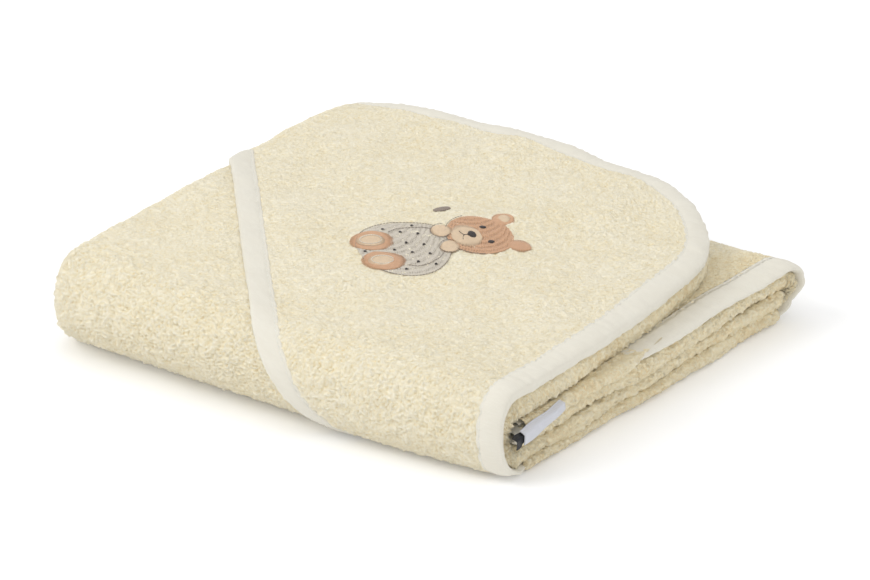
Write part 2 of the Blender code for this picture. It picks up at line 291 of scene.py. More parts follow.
@dataclass(frozen=True)
class Settling:
    """How the stacked pack sags, swells and rounds off under its own weight.

    Every piece goes through the same moves, so that layers stay on each other. The crown's heights, tuck,
    front_pull and far_edge are the rounded result of a separate fitting program.
    """

    crown: Relief = Relief((
        (48.6, 53.5, 52.6, 49.7, 43.9),
        (51.0, 53.3, 52.7, 49.5, 44.8),
        (52.4, 53.0, 51.9, 49.0, 45.0),
        (51.6, 50.9, 49.2, 46.9, 44.6),
        (49.6, 45.7, 43.7, 42.6, 43.0)))
    parting: Relief = Relief((
        (0.0, 0.0, 0.3, 1.4, 2.4),
        (0.0, 0.0, 0.2, 0.6, 1.2),
        (0.0, 0.0, -0.3, -0.9, -1.6),
        (0.0, 0.0, -0.8, -2.2, -3.6),
        (0.0, 0.0, -1.0, -2.6, -4.0)))
    soft_corner: float = 0.024
    back_corner: float = 0.033
    bound_corner: float = 0.009
    ripple: float = 0.0006
    swell: float = 0.0007
    tuck: float = 0.0205
    tuck_reach: float = 0.35
    front_pull: float = -0.0085
    back_push: float = 0.0095
    far_edge: tuple[float, float] = (0.0063, 0.0035)
    toe: float = 0.0042
    toe_reach: float = 0.016

    def askew(self, x: Array, y: Array, z: Array) -> tuple[Array, Array]:
        """Draws the front fold back at its bound end and shifts the free edges, as in a pack folded by hand.

        Args:
            x: world x of the ideal pack.
            y: world y of the ideal pack.
            z: height in the ideal pack.

        Returns:
            Moved x and y.
        """
        u = np.clip((x / FOLD.half_x + 1) / 2, 0, 1.02)
        v = np.clip((y / (FOLD.width / 2) + 1) / 2, 0, 1)
        front = np.clip(1 - v / self.tuck_reach, 0, 1) ** 2
        back = np.clip((v - 0.6) / 0.4, 0, 1) ** 2 * np.clip((z - 0.034) / 0.006, 0, 1)
        middle, right = self.far_edge
        far = 4 * u * (1 - u) * middle + u * (2 * u - 1) * right
        push = self.back_push * np.clip(z / 0.015, 0.5, 1) * (1 - 0.75 * np.clip((z - 0.0306) / 0.0016, 0, 1))
        return (x + u ** 3 * ((1 - v) * self.front_pull + v * push),
                y + front * self.tuck * u * u + back * far)

    def round_corner(self, x: Array, y: Array, side: int, end: int, reach: float) -> tuple[Array, Array]:
        """Draws one corner of the pack in to a quarter circle of that reach.

        Args:
            x: world x.
            y: world y.
            side: 1 at the bound end, -1 at the creased end.
            end: 1 at the back, -1 at the front.
            reach: the corner's reach.

        Returns:
            Moved x and y.
        """
        a = np.clip((side * x - (FOLD.half_x - reach)) / reach, 0, 1.2)
        b = np.clip((end * y - (FOLD.width / 2 - reach)) / reach, 0, 1.2)
        return (x - side * reach * a * (1 - np.sqrt(1 - np.minimum(b, 1.0) ** 2 / 2)),
                y - end * reach * b * (1 - np.sqrt(1 - np.minimum(a, 1.0) ** 2 / 2)))

    def __call__(self, points: Array) -> Array:
        """Settled positions of points of the ideal pack.

        Args:
            points: positions in the ideal pack, with a last axis of three.

        Returns:
            Positions in the settled pack.
        """
        z = points[..., 2]
        x, y = self.askew(points[..., 0], points[..., 1], z)
        share = self.crown.at(x, y) / FOLD.top
        level = FOLD.middle_top
        hump = np.clip(z * (FOLD.top - z) / (level * (FOLD.top - level)), 0, None)
        raised = z * share + hump * (level * (1 - share) + self.parting.at(x, y)) * 0.9
        lean = np.clip(raised / FOLD.top, 0, 1.2)
        wave = (np.sin(31 * x + 1.1) * np.sin(27 * y + 0.4) + 0.6 * np.sin(67 * x - 41 * y + 2.0)
                + 0.4 * np.sin(93 * y + 38 * x))
        dune = (np.sin(57 * x + 19 * y) * np.sin(49 * y - 23 * x + 1.3)
                + 0.7 * np.sin(118 * x + 0.5) * np.sin(97 * y)
                + 0.5 * np.sin(171 * x - 83 * y) * np.sin(139 * y + 0.9))
        t = x / FOLD.half_x
        toe = (np.clip((FOLD.front_y - points[..., 1]) / self.toe_reach, 0, 1)
               * np.clip(1 - z / FOLD.top, 0, 1) ** 1.2 * (0.95 - 0.37 * t + 0.18 * t * t))
        new_z = raised + self.toe * toe + (self.ripple * wave + self.swell * dune * lean) * lean
        side = self.ripple * (np.sin(48 * y + 3 * lean) + 0.7 * np.sin(112 * y + 0.6 + 5 * lean))
        front = self.ripple * (np.sin(36 * x + 2 * lean) + 0.5 * np.sin(88 * x - 3 * lean))
        new_x = x + side * 1.2 * np.sign(x) * np.clip(np.abs(x) / FOLD.half_x, 0, 1) ** 4
        new_y = y + front * np.sign(y) * np.clip(np.abs(y) / (FOLD.width / 2), 0, 1) ** 4
        for cx, cy, reach in ((-1, -1, self.soft_corner), (-1, 1, self.back_corner),
                              (1, -1, self.bound_corner)):
            new_x, new_y = self.round_corner(new_x, new_y, cx, cy, reach)
        return np.stack([new_x, new_y, new_z], -1)


SETTLE = Settling()


# ---------------------------------------------------------------- surface relief

class Waves:
    """Seeded noise over the flat cloth, whose waves have one length."""

    PITCH = 0.0005
    SPAN = (0.92, 0.84)

    def __init__(self, wavelength: float, spread: float, seed: int) -> None:
        """Makes the noise.

        Args:
            wavelength: length of its waves in metres.
            spread: how much that length varies, as a share.
            seed: seed of its random numbers.
        """
        shape = tuple(round(span / self.PITCH) for span in self.SPAN)
        rough = np.random.default_rng(seed).standard_normal(shape)
        rows = np.fft.fftfreq(shape[0], self.PITCH)[:, None]
        columns = np.fft.rfftfreq(shape[1], self.PITCH)[None]
        off = (np.hypot(rows, columns) * wavelength - 1) / spread
        smooth = np.fft.irfft2(np.fft.rfft2(rough) * np.exp(-off * off / 2), s=shape)
        self.values = smooth / smooth.std()

    def at(self, u: Array, v: Array) -> Array:
        """Value at flat points, in standard deviations.

        Args:
            u: flat position across the cloth.
            v: flat position along the cloth.

        Returns:
            Values of the noise.
        """
        a, b = u / self.PITCH, v / self.PITCH
        i, j = np.floor(a).astype(int), np.floor(b).astype(int)
        fa, fb = a - i, b - j
        rows, columns = self.values.shape
        i0, i1, j0, j1 = i % rows, (i + 1) % rows, j % columns, (j + 1) % columns
        v = self.values
        return ((v[i0, j0] * (1 - fb) + v[i0, j1] * fb) * (1 - fa)
                + (v[i1, j0] * (1 - fb) + v[i1, j1] * fb) * fa)


class Pile:
    """The looped pile of terry: loops, and clumps of loops."""

    def __init__(self, seed: int = 11) -> None:
        """Draws the two sizes of unevenness."""
        self.loops = Waves(2.3 * MM, 0.30, seed)
        self.clumps = Waves(7.5 * MM, 0.40, seed + 1)

    def at(self, u: Array, v: Array, rough: Array) -> tuple[Array, Array]:
        """Relief of the pile.

        Args:
            u: flat position across the cloth.
            v: flat position along the cloth.
            rough: 0 where the loops lie pressed flat, 1 where they stand up.

        Returns:
            Height in metres, and a painted shade from 0 in the valleys to 1 on the loops, lower where the
            loops stand up.
        """
        loops, clumps = self.loops.at(u, v), self.clumps.at(u, v)
        height = (0.13 + 0.23 * rough) * np.clip(loops, -2.2, 1.9) + (0.10 + 0.18 * rough) * clumps
        # Painted shade: darker between the loops and clumps, and darker with more contrast where the loops
        # stand up.
        shade = np.clip(0.57 - 0.09 * rough + (0.20 + 0.08 * rough) * loops + 0.09 * clumps, 0, 1)
        return height * MM, shade


def face_normals(points: Array) -> Array:
    """Unit normals of a grid of points, from its rows and columns.

    Args:
        points: rows and columns of positions.

    Returns:
        One normal for each point.
    """
    across = np.gradient(points, axis=1)
    along = np.gradient(points, axis=0)
    normal = np.cross(across, along)
    return normal / np.maximum(np.linalg.norm(normal, axis=-1, keepdims=True), 1e-12)


def steps(start: float, stop: float, pitch: float) -> Array:
    """Evenly spaced values from start to stop, about a pitch apart."""
    return np.linspace(start, stop, max(2, round(abs(stop - start) / pitch) + 1))


def chain(*runs: Array) -> Array:
    """Runs of values end to end, each shared end once."""
    return np.concatenate([runs[0]] + [run[1:] for run in runs[1:]])


def ramp(value: Array, low: float, high: float) -> Array:
    """Smooth rise from 0 at low to 1 at high."""
    t = np.clip((value - low) / (high - low), 0, 1)
    return t * t * (3 - 2 * t)


# ---------------------------------------------------------------- meshes

def new_piece(name: str, points: Array, faces: Sequence[Array], flat: Optional[Array] = None,
              shade: Optional[Array] = None) -> bpy.types.Object:
    """Makes a smooth mesh object.

    Args:
        name: the piece's name.
        points: vertex positions.
        faces: arrays of faces, one array for each number of corners.
        flat: flat position of each vertex, for the weave.
        shade: painted shade of the pile at each vertex, 0 in the valleys to 1 on the loops.

    Returns:
        The new object, linked to the scene.
    """
    used = np.zeros(len(points), bool)
    for block in faces:
        used[block.ravel()] = True
    renumber = np.cumsum(used) - 1
    blocks = [renumber[block] for block in faces if len(block)]
    corners = np.concatenate([block.ravel() for block in blocks]).astype(np.int32)
    sizes = np.concatenate([np.full(len(block), block.shape[1]) for block in blocks])
    mesh = bpy.data.meshes.new(name)
    mesh.vertices.add(int(used.sum()))
    mesh.vertices.foreach_set("co", points[used].astype(np.float32).ravel())
    mesh.loops.add(len(corners))
    mesh.loops.foreach_set("vertex_index", corners)
    mesh.polygons.add(len(sizes))
    mesh.polygons.foreach_set("loop_start", np.concatenate([[0], np.cumsum(sizes)[:-1]]).astype(np.int32))
    mesh.polygons.foreach_set("use_smooth", np.ones(len(sizes), bool))
    if flat is not None:
        layer = mesh.uv_layers.new(name="flat")
        layer.data.foreach_set("uv", flat[used][corners].astype(np.float32).ravel())
    if shade is not None:
        # The pile attribute holds the painted shade.
        kept = mesh.attributes.new("pile", "FLOAT", "POINT")
        kept.data.foreach_set("value", shade[used].astype(np.float32))
    mesh.update(calc_edges=True)
    mesh.validate()
    obj = bpy.data.objects.new(name, mesh)
    bpy.context.scene.collection.objects.link(obj)
    return obj


def grid_faces(rows: int, columns: int, keep: Optional[Array] = None, hidden: Optional[Array] = None,
               block: int = 6) -> list[Array]:
    """Faces of a grid of points.

    Args:
        rows: number of point rows.
        columns: number of points in a row.
        keep: the cells that exist.
        hidden: cells under another layer, which are joined in blocks.
        block: cells along each side of such a block.

    Returns:
        One array of four-cornered faces.
    """
    keep = np.ones((rows - 1, columns - 1), bool) if keep is None else keep
    single = keep.copy()
    made = []
    if hidden is not None:
        r, c = (rows - 1) // block * block, (columns - 1) // block * block
        whole = (hidden & keep)[:r, :c].reshape(r // block, block, c // block, block).all(axis=(1, 3))
        single[:r, :c] &= ~np.kron(whole, np.ones((block, block), bool))
        i, j = (block * k for k in np.nonzero(whole))
        made.append(np.stack([i * columns + j, i * columns + j + block,
                              (i + block) * columns + j + block, (i + block) * columns + j], -1))
    i, j = np.nonzero(single)
    made.append(np.stack([i * columns + j, i * columns + j + 1,
                          (i + 1) * columns + j + 1, (i + 1) * columns + j], -1))
    return [np.concatenate(made)]


def grid_piece(name: str, points: Array, flat: Array, shade: Optional[Array] = None,
               keep: Optional[Array] = None, hidden: Optional[Array] = None, reverse: bool = False
               ) -> bpy.types.Object:
    """Makes an object from a grid of points and its flat positions, with its faces reversed if asked.

    Args:
        name: the piece's name.
        points: rows and columns of positions.
        flat: flat position of each point.
        shade: painted shade of the pile at each point.
        keep: the cells that exist.
        hidden: cells under another layer.
        reverse: whether its faces turn the other way.

    Returns:
        The new object.
    """
    rows, columns = points.shape[:2]
    faces = grid_faces(rows, columns, keep, hidden)
    return new_piece(name, points.reshape(-1, 3), [block[:, ::-1] for block in faces] if reverse else faces,
                     flat.reshape(-1, 2), None if shade is None else shade.reshape(-1))


# ---------------------------------------------------------------- shading

Input = Union["Socket", float, int, Colour, tuple[float, ...]]


class Socket:
    """A shader value that Python's arithmetic works on."""

    def __init__(self, graph: "Graph", output: bpy.types.NodeSocket) -> None:
        """Wraps a node's output."""
        self.graph, self.output = graph, output

    @property
    def is_vector(self) -> bool:
        """Whether the value is a colour or a vector."""
        return self.output.type in ("VECTOR", "RGBA")

    def apply(self, operation: str, *others: Input, first: Optional[Input] = None) -> "Socket":
        """Puts a maths node after this value.

        Args:
            operation: the maths node's operation.
            others: values after this one.
            first: a value before this one.

        Returns:
            The node's result.
        """
        terms = ([first] if first is not None else []) + [self] + list(others)
        vector = any(t.is_vector if isinstance(t, Socket) else isinstance(t, tuple) for t in terms)
        kind = "ShaderNodeVectorMath" if vector else "ShaderNodeMath"
        if vector:
            terms = [(t, t, t) if isinstance(t, (int, float)) else t for t in terms]
        return self.graph.node(kind, {"operation": operation}, dict(enumerate(terms)))

    def __add__(self, other: Input) -> "Socket":
        """Sum."""
        return self.apply("ADD", other)

    def __radd__(self, other: Input) -> "Socket":
        """Sum, with this value second."""
        return self.apply("ADD", first=other)

    def __sub__(self, other: Input) -> "Socket":
        """Difference."""
        return self.apply("SUBTRACT", other)

    def __rsub__(self, other: Input) -> "Socket":
        """Difference, with this value second."""
        return self.apply("SUBTRACT", first=other)

    def __mul__(self, other: Input) -> "Socket":
        """Product."""
        return self.apply("MULTIPLY", other)

    def __rmul__(self, other: Input) -> "Socket":
        """Product, with this value second."""
        return self.apply("MULTIPLY", first=other)

    def clamped(self, low: float = 0.0, high: float = 1.0) -> "Socket":
        """The value held between low and high."""
        return self.apply("MAXIMUM", low).apply("MINIMUM", high)

    def sine(self) -> "Socket":
        """Sine of the value."""
        return self.apply("SINE")

    def magnitude(self) -> "Socket":
        """The value without its sign."""
        return self.apply("ABSOLUTE")


class Graph:
    """The node tree of one material."""

    def __init__(self, material: bpy.types.Material) -> None:
        """Empties the tree and starts it with its output."""
        material.use_nodes = True
        self.tree = material.node_tree
        self.tree.nodes.clear()
        self.end = self.tree.nodes.new("ShaderNodeOutputMaterial")

    def node(self, kind: str, settings: dict[str, object], inputs: dict[Union[int, str], Input],
             output: Union[int, str] = 0) -> Socket:
        """Adds a node.

        Args:
            kind: the node's type.
            settings: its options, set before its sockets.
            inputs: values or links of its sockets.
            output: the output to read.

        Returns:
            That output.
        """
        made = self.tree.nodes.new(kind)
        for key, value in settings.items():
            setattr(made, key, value)
        for key, value in inputs.items():
            socket = made.inputs[key]
            if isinstance(value, Socket):
                self.tree.links.new(value.output, socket)
            elif isinstance(value, tuple) and socket.type == "RGBA":
                socket.default_value = (*value[:3], 1.0)
            else:
                socket.default_value = value
        return Socket(self, made.outputs[output])

    def mix(self, factor: Input, a: Input, b: Input) -> Socket:
        """Blends two colours."""
        return self.node("ShaderNodeMix", {"data_type": "RGBA"}, {"Factor": factor, 6: a, 7: b}, 2)

    def flat(self) -> Socket:
        """Flat position on the cloth, in millimetres."""
        place = self.node("ShaderNodeUVMap", {"uv_map": "flat"}, {})
        return place * (1000.0, 1000.0, 0.0)

    def where(self) -> Socket:
        """Position in the object, in millimetres."""
        place = self.node("ShaderNodeTexCoord", {}, {}, "Object")
        return place * (1000.0, 1000.0, 1000.0)

    def attribute(self, name: str) -> Socket:
        """A number stored on the mesh."""
        return self.node("ShaderNodeAttribute", {"attribute_name": name}, {}, "Fac")

    def noise(self, place: Socket, per_mm: float, detail: float = 2.0, twist: float = 0.0) -> Socket:
        """Soft noise from 0 to 1, with a number of waves for each millimetre."""
        return self.node("ShaderNodeTexNoise", {"noise_dimensions": "3D"},
                         {"Vector": place, "Scale": per_mm, "Detail": detail, "Distortion": twist})

    def split(self, place: Socket) -> tuple[Socket, Socket, Socket]:
        """The three parts of a vector.

        Args:
            place: the vector.

        Returns:
            Its x, y and z.
        """
        first = self.node("ShaderNodeSeparateXYZ", {}, {0: place}, 0)
        outputs = first.output.node.outputs
        return first, Socket(self, outputs[1]), Socket(self, outputs[2])

    def bump(self, height: Socket, depth: float, strength: float = 1.0) -> Socket:
        """A normal bent by a height of that many metres."""
        return self.node("ShaderNodeBump", {}, {"Height": height, "Distance": depth, "Strength": strength})

    def surface(self, base: Input, roughness: Input, normal: Optional[Socket],
                constants: dict[str, object]) -> None:
        """Ends the tree in one cloth shader.

        Args:
            base: base colour.
            roughness: roughness.
            normal: a bent normal, or None.
            constants: other sockets' fixed values.
        """
        inputs: dict[Union[int, str], Input] = {"Base Color": base, "Roughness": roughness}
        if normal is not None:
            inputs["Normal"] = normal
        inputs.update(constants)
        shader = self.node("ShaderNodeBsdfPrincipled", {}, inputs)
        self.tree.links.new(shader.output, self.end.inputs["Surface"])


class Finish:
    """A material that is made once and shared."""

    name: str
    slot: str

    def build(self, graph: Graph) -> None:
        """Draws the material's nodes."""
        raise NotImplementedError

    def material(self) -> bpy.types.Material:
        """The finish as a material."""
        made = bpy.data.materials.get(self.name)
        if made is None:
            made = bpy.data.materials.new(self.name)
            self.build(Graph(made))
        return made

    def dress(self, obj: bpy.types.Object) -> None:
        """Gives the object this finish."""
        obj.data.materials.clear()
        obj.data.materials.append(self.material())


@dataclass(frozen=True)
class TerryFinish(Finish):
    """Cream cotton loops."""

    name: str = "terry_loops"
    slot: str = "terry_cream"
    # The middle and valley colours are the cream darkened by painted shade.
    crest: Colour = (0.895, 0.835, 0.670)
    middle: Colour = (0.860, 0.758, 0.515)
    valley: Colour = (0.750, 0.555, 0.285)
    loop: float = 0.00042

    def build(self, graph: Graph) -> None:
        """Draws curly loops over the pile's relief, with painted shade, darker and yellower, between them and
        on the shaded parts, and random patches of tone.
        """
        flat = graph.flat()
        pile = graph.attribute("pile")
        curls = (graph.noise(flat, 0.62, 2.0, 1.6) - 0.5).magnitude() * 4.2
        fine = graph.noise(flat, 1.9, 1.0)
        patches = graph.noise(flat, 0.035, 3.0)
        loops = (1.0 - curls.clamped()) * 0.75 + fine * 0.25
        # Painted shade from the pile attribute and the curls' relief, with random patches of tone.
        depth = (pile * 0.55 + loops * 0.45 + (patches - 0.5) * 0.45).clamped()
        low = graph.mix((depth * 2.6).clamped(), self.valley, self.middle)
        base = graph.mix((depth * 2.2 - 0.75).clamped(), low, self.crest)
        normal = graph.bump(loops, self.loop)
        graph.surface(base, 0.95, normal, {"Sheen Weight": 0.25, "Sheen Roughness": 0.6,
                                           "Sheen Tint": (1.0, 0.95, 0.82), "Specular IOR Level": 0.15})


@dataclass(frozen=True)
class TapeFinish(Finish):
    """Off-white plain-woven cotton tape."""

    name: str = "binding_tape"
    slot: str = "cotton_tape"
    crest: Colour = (0.805, 0.780, 0.695)
    valley: Colour = (0.690, 0.645, 0.540)
    threads_per_mm: float = 1.9
    weave: float = 0.00010

    def build(self, graph: Graph) -> None:
        """Draws a fine plain weave with slubs; the weave's light and dark in the colour is painted shade
        between the threads, and the slubs and patches are random tone.
        """
        flat = graph.flat()
        along, across, _ = graph.split(flat)
        turn = math.pi * self.threads_per_mm
        weave = ((along * turn).sine() * (across * turn).sine()).magnitude()
        slubs = graph.noise(flat * (0.25, 2.2, 1.0), 0.8, 2.0)
        patches = graph.noise(flat, 0.06, 2.0)
        # The weave term is painted shade between the threads; slubs and patches are random tone.
        tone = (weave * 0.30 + slubs * 0.50 + patches * 0.45).clamped()
        base = graph.mix(tone, self.valley, self.crest)
        normal = graph.bump(weave * 0.6 + slubs * 0.6, self.weave)
        graph.surface(base, 0.82, normal, {"Sheen Weight": 0.12, "Sheen Roughness": 0.5,
                                           "Specular IOR Level": 0.25})


@dataclass(frozen=True)
class ThreadFinish(Finish):
    """Twisted thread of one colour."""

    name: str
    slot: str
    colour: Colour
    roughness: float = 0.55
    twists_per_mm: float = 1.7
    shade: float = 0.62

    def build(self, graph: Graph) -> None:
        """Draws the thread's twist as slanting lines of painted shade, with random tone from noise."""
        flat = graph.flat()
        along, round_it, _ = graph.split(flat)
        twist = ((along * self.twists_per_mm + round_it * 0.9) * math.pi).sine().magnitude()
        wear = graph.noise(graph.where(), 0.5, 2.0)
        # The twist's dark lines are painted shade in the grooves of the twist.
        dark = tuple(c * self.shade for c in self.colour)
        base = graph.mix((twist * 0.55 + wear * 0.6).clamped(), dark, self.colour)
        graph.surface(base, self.roughness, graph.bump(twist, 0.00006),
                      {"Sheen Weight": 0.15, "Specular IOR Level": 0.45})


@dataclass(frozen=True)
class RibbonFinish(Finish):
    """Finely woven label ribbon."""

    name: str
    slot: str
    colour: Colour
    roughness: float = 0.5

    def build(self, graph: Graph) -> None:
        """Draws the ribbon's ribs, with painted shade between them and cloudy random tone."""
        flat = graph.flat()
        along, across, _ = graph.split(flat)
        ribs = (across * 9.0).sine().magnitude() * 0.6 + (along * 14.0).sine().magnitude() * 0.4
        cloudy = graph.noise(flat, 0.3, 2.0)
        dark = tuple(c * 0.82 for c in self.colour)
        base = graph.mix((ribs * 0.4 + cloudy * 0.6).clamped(), dark, self.colour)
        graph.surface(base, self.roughness, graph.bump(ribs, 0.00005), {"Specular IOR Level": 0.4})


class Thread(Enum):
    """The thread colours of the embroidery and seams."""

    OATMEAL = ThreadFinish("oatmeal_thread", "thread_oatmeal", (0.700, 0.640, 0.545))
    TAN = ThreadFinish("tan_thread", "thread_tan", (0.700, 0.420, 0.250))
    PALE = ThreadFinish("pale_tan_thread", "thread_pale_tan", (0.800, 0.620, 0.430))
    DARK = ThreadFinish("dark_thread", "thread_dark", (0.035, 0.026, 0.024), 0.45)
    TAUPE = ThreadFinish("taupe_thread", "thread_taupe", (0.300, 0.240, 0.195))
    SEAM = ThreadFinish("seam_thread", "cotton_tape", (0.880, 0.860, 0.780), 0.7)


TERRY = TerryFinish()
TAPE = TapeFinish()
# The white label's colour is darkened to a grey-blue: painted shade.
LABEL_WHITE = RibbonFinish("white_ribbon", "woven_label", (0.66, 0.67, 0.72))
LABEL_DARK = RibbonFinish("dark_ribbon", "printed_label", (0.020, 0.021, 0.026), 0.4)


# ---------------------------------------------------------------- segments

@dataclass(frozen=True)
class Segment:
    """A run of the cloth: its rows, its body, and the hinge that it lies over."""

    name: str
    rows: Array
    body: str
    onto: Optional[str] = None
    hinge: float = 0.0
    reach: float = 0.004

    def carry(self, obj: bpy.types.Object) -> None:
        """Attaches a finished piece to this run's body; on a run over a hinge it only bakes the piece's
        transform.

        Args:
            obj: the finished piece.
        """
        if self.onto is None:
            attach(obj, self.body)
            return
        turn = math.radians(self.hinge)
        radius = FOLD.front_radius + FOLD.hood_lift
        pivot = np.array([0.0, FOLD.front_y - radius * math.sin(turn),
                          FOLD.front_radius + radius * math.cos(turn)])
        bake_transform(obj)


def cloth_segments() -> tuple[Segment, ...]:
    """The towel's five runs, from the middle flap's end to the hood flap's."""
    third = [FOLD.turned(a) for a in (120, 60)]
    return (
        Segment("base", chain(steps(FOLD.s_end + 0.004, FOLD.s_middle, 0.0010),
                              steps(FOLD.s_middle, FOLD.s_back, 0.0008),
                              steps(FOLD.s_back, FOLD.s_base, 0.0013)), "base"),
        Segment("toe", steps(FOLD.s_base, third[0], 0.0007), "base", "fold_lower", 150),
        Segment("front", steps(third[0], third[1], 0.0007), "fold_lower", "fold_upper", 90),
        Segment("brow", steps(third[1], 0.0, 0.0007), "fold_upper", "hood_flap", 30),
        Segment("hood", steps(0.0, FOLD.at_y(FOLD.edge_a_y - 0.004), 0.00075), "hood_flap"),
    )


SEGMENTS = cloth_segments()
# CAD nodes that each run of each kind of piece stands for
TERRY_NODES: dict[str, tuple[str, ...]] = {
    "base": ("terry_base_outer", "terry_base_inner", "terry_back_fold_outer", "terry_back_fold_inner",
             "terry_middle_flap_outer", "terry_middle_flap_inner", "crease_base", "crease_back_fold",
             "crease_middle_flap"),
    "toe": ("terry_fold_lower_outer", "terry_fold_lower_inner", "crease_fold_lower"),
    "front": ("terry_fold_upper_outer", "terry_fold_upper_inner", "crease_fold_upper"),
    "brow": ("terry_hood_flap_outer",),
    "hood": ("terry_hood_flap_inner", "crease_hood_flap"),
}
TAPE_NODES: dict[str, tuple[str, ...]] = {
    "base": ("binding_base", "binding_back_fold", "binding_middle_flap_side"),
    "toe": ("binding_fold_lower",), "front": ("binding_fold_upper",), "brow": (),
    "hood": ("binding_hood_flap",),
}
HOOD_NODES: dict[str, tuple[str, ...]] = {
    "toe": ("hood_panel_fold_lower",), "front": ("hood_panel_fold_upper",), "brow": (),
    "hood": ("hood_panel_flap", "crease_hood"),
}
HOOD_TAPE_NODES: dict[str, tuple[str, ...]] = {
    "toe": ("hood_binding_fold_lower",), "front": ("hood_binding_fold_upper",), "brow": (),
    "hood": ("hood_binding_flap",),
}


@dataclass
class Wrap:
    """The letter fold across the towel: panel, crease, panel, crease, panel.

    Columns are named by zone, and each carries a place between the zone's ends.
    """

    inset: float = 0.004
    lip: float = 0.0036
    fine: float = 0.0008
    coarse: float = 0.006
    roll_radius: float = 0.0051
    roll_back: float = 0.0016
    press: float = 0.0006
    swell: float = 0.0008
    front_swell: float = 0.0050

    def roll_x(self, s: Array) -> Array:
        """Axis of the inner crease, which wanders a little.

        Args:
            s: run of the cloth, one value for each row.

        Returns:
            World x for each row.
        """
        wander = 0.0011 * np.sin(41 * s + 0.7) + 0.0007 * np.sin(97 * s + 2.1)
        edge = FOLD.edge_x(s) - self.roll_back
        return edge + wander - self.roll_radius

    def panel(self, s: Array, lift: Union[Array, float]) -> tuple[Array, Array, Array]:
        """First panel from its bound edge to the crease: x, depth and flat position.

        Args:
            s: run of the cloth, one value for each row.
            lift: height over the towel's face.

        Returns:
            Grids of x, depth and flat position.
        """
        turned = FOLD.turned_in(s)[:, None]
        edge = FOLD.edge_x(s, self.inset)[:, None] + turned * (self.inset - self.lip)
        t = np.linspace(0, 1, round((FOLD.half_x - self.inset - FOLD.left) / self.fine) + 1)[None]
        x = edge + (FOLD.left - edge) * t
        return x, -lift + 0 * x, x

    def turned_lip(self, s: Array) -> tuple[Array, Array, Array]:
        """The base's edge rolled up and in: x, depth and flat position.

        Args:
            s: run of the cloth, one value for each row.

        Returns:
            Grids of x, depth and flat position.
        """
        turned = FOLD.turned_in(s)[:, None]
        angle = np.linspace(math.pi, 0, 15)[None, :-1]
        straight = FOLD.edge_x(s, self.inset)[:, None] + 0.0002 * angle
        rolled = FOLD.edge_x(s, self.lip)[:, None]
        x = straight + (rolled + self.lip * np.sin(angle) - straight) * turned
        depth = self.lip * (1 - np.cos(angle)) * turned
        return x, depth, straight + turned * (self.inset - self.lip + self.lip * angle)

    def crease(self, s: Array, lift: Callable[[Array], Array], turn: float = math.pi
               ) -> tuple[Array, Array, Array]:
        """The outer crease, pushed out by a lift that depends on the angle.

        Args:
            s: run of the cloth, one value for each row.
            lift: extra radius at an angle round the crease.
            turn: the angle that it turns through.

        Returns:
            Grids of x, depth and flat position.
        """
        half = FOLD.flap / 2
        angle = np.linspace(0, turn, round(turn * half / self.fine) + 1)[None]
        out = lift(angle)
        x = FOLD.left - (half + out) * np.sin(angle) + 0 * s[:, None]
        depth = half - (half + out) * np.cos(angle) + 0 * s[:, None]
        return x, depth, FOLD.left - half * angle + 0 * s[:, None]

    def inner(self, s: Array) -> tuple[Array, Array, Array]:
        """Second panel, inner crease and third panel.

        Args:
            s: run of the cloth, one value for each row.

        Returns:
            Grids of x, depth and flat position.
        """
        r, roll = self.roll_radius, self.roll_x(s)[:, None]
        crease = math.pi * FOLD.flap / 2
        wide = steps(0.0, 0.88, 0.022)
        t = chain(wide, np.linspace(0.88, 1.0, 34))[None]
        x2 = FOLD.left + (roll - FOLD.left) * t
        front = np.clip(-s / (math.pi * FOLD.front_radius), 0, 1)[:, None]
        swell = self.front_swell * np.sin(math.pi * front) ** 2 + self.swell
        low = FOLD.flap - self.press
        d2 = low + swell * ramp(t, 0.90, 0.97)
        angle = np.linspace(0, math.pi, 22)[None]
        x3 = roll + r * np.sin(angle)
        high = FOLD.outer_layer + FOLD.gap - self.swell
        middle, tall = (low + swell + high) / 2, (low + swell - high) / 2
        d3 = middle + tall * np.cos(angle) + 0 * s[:, None]
        back = np.array([0.001, 0.003, 0.010, 0.04, 0.09, 0.15, 0.20, 0.235])[None]
        x4 = np.maximum(roll - back, FOLD.left - 0.002)
        d4 = FOLD.outer_layer + FOLD.gap + 0 * x4
        u2 = FOLD.left - crease - (x2 - FOLD.left)
        u3 = FOLD.left - crease - (roll - FOLD.left) - r * angle
        u4 = FOLD.left - crease - (roll - FOLD.left) - r * math.pi - (roll - x4)
        return (np.concatenate([x2[:, 1:], x3[:, 1:], x4], 1), np.concatenate([d2[:, 1:], d3[:, 1:], d4], 1),
                np.concatenate([u2[:, 1:], u3[:, 1:], u4], 1))


WRAP = Wrap()
# How far a stitched-down tape presses the loops below their level
PRESSED = 1.3 * MM


# ---------------------------------------------------------------- the towel's parts

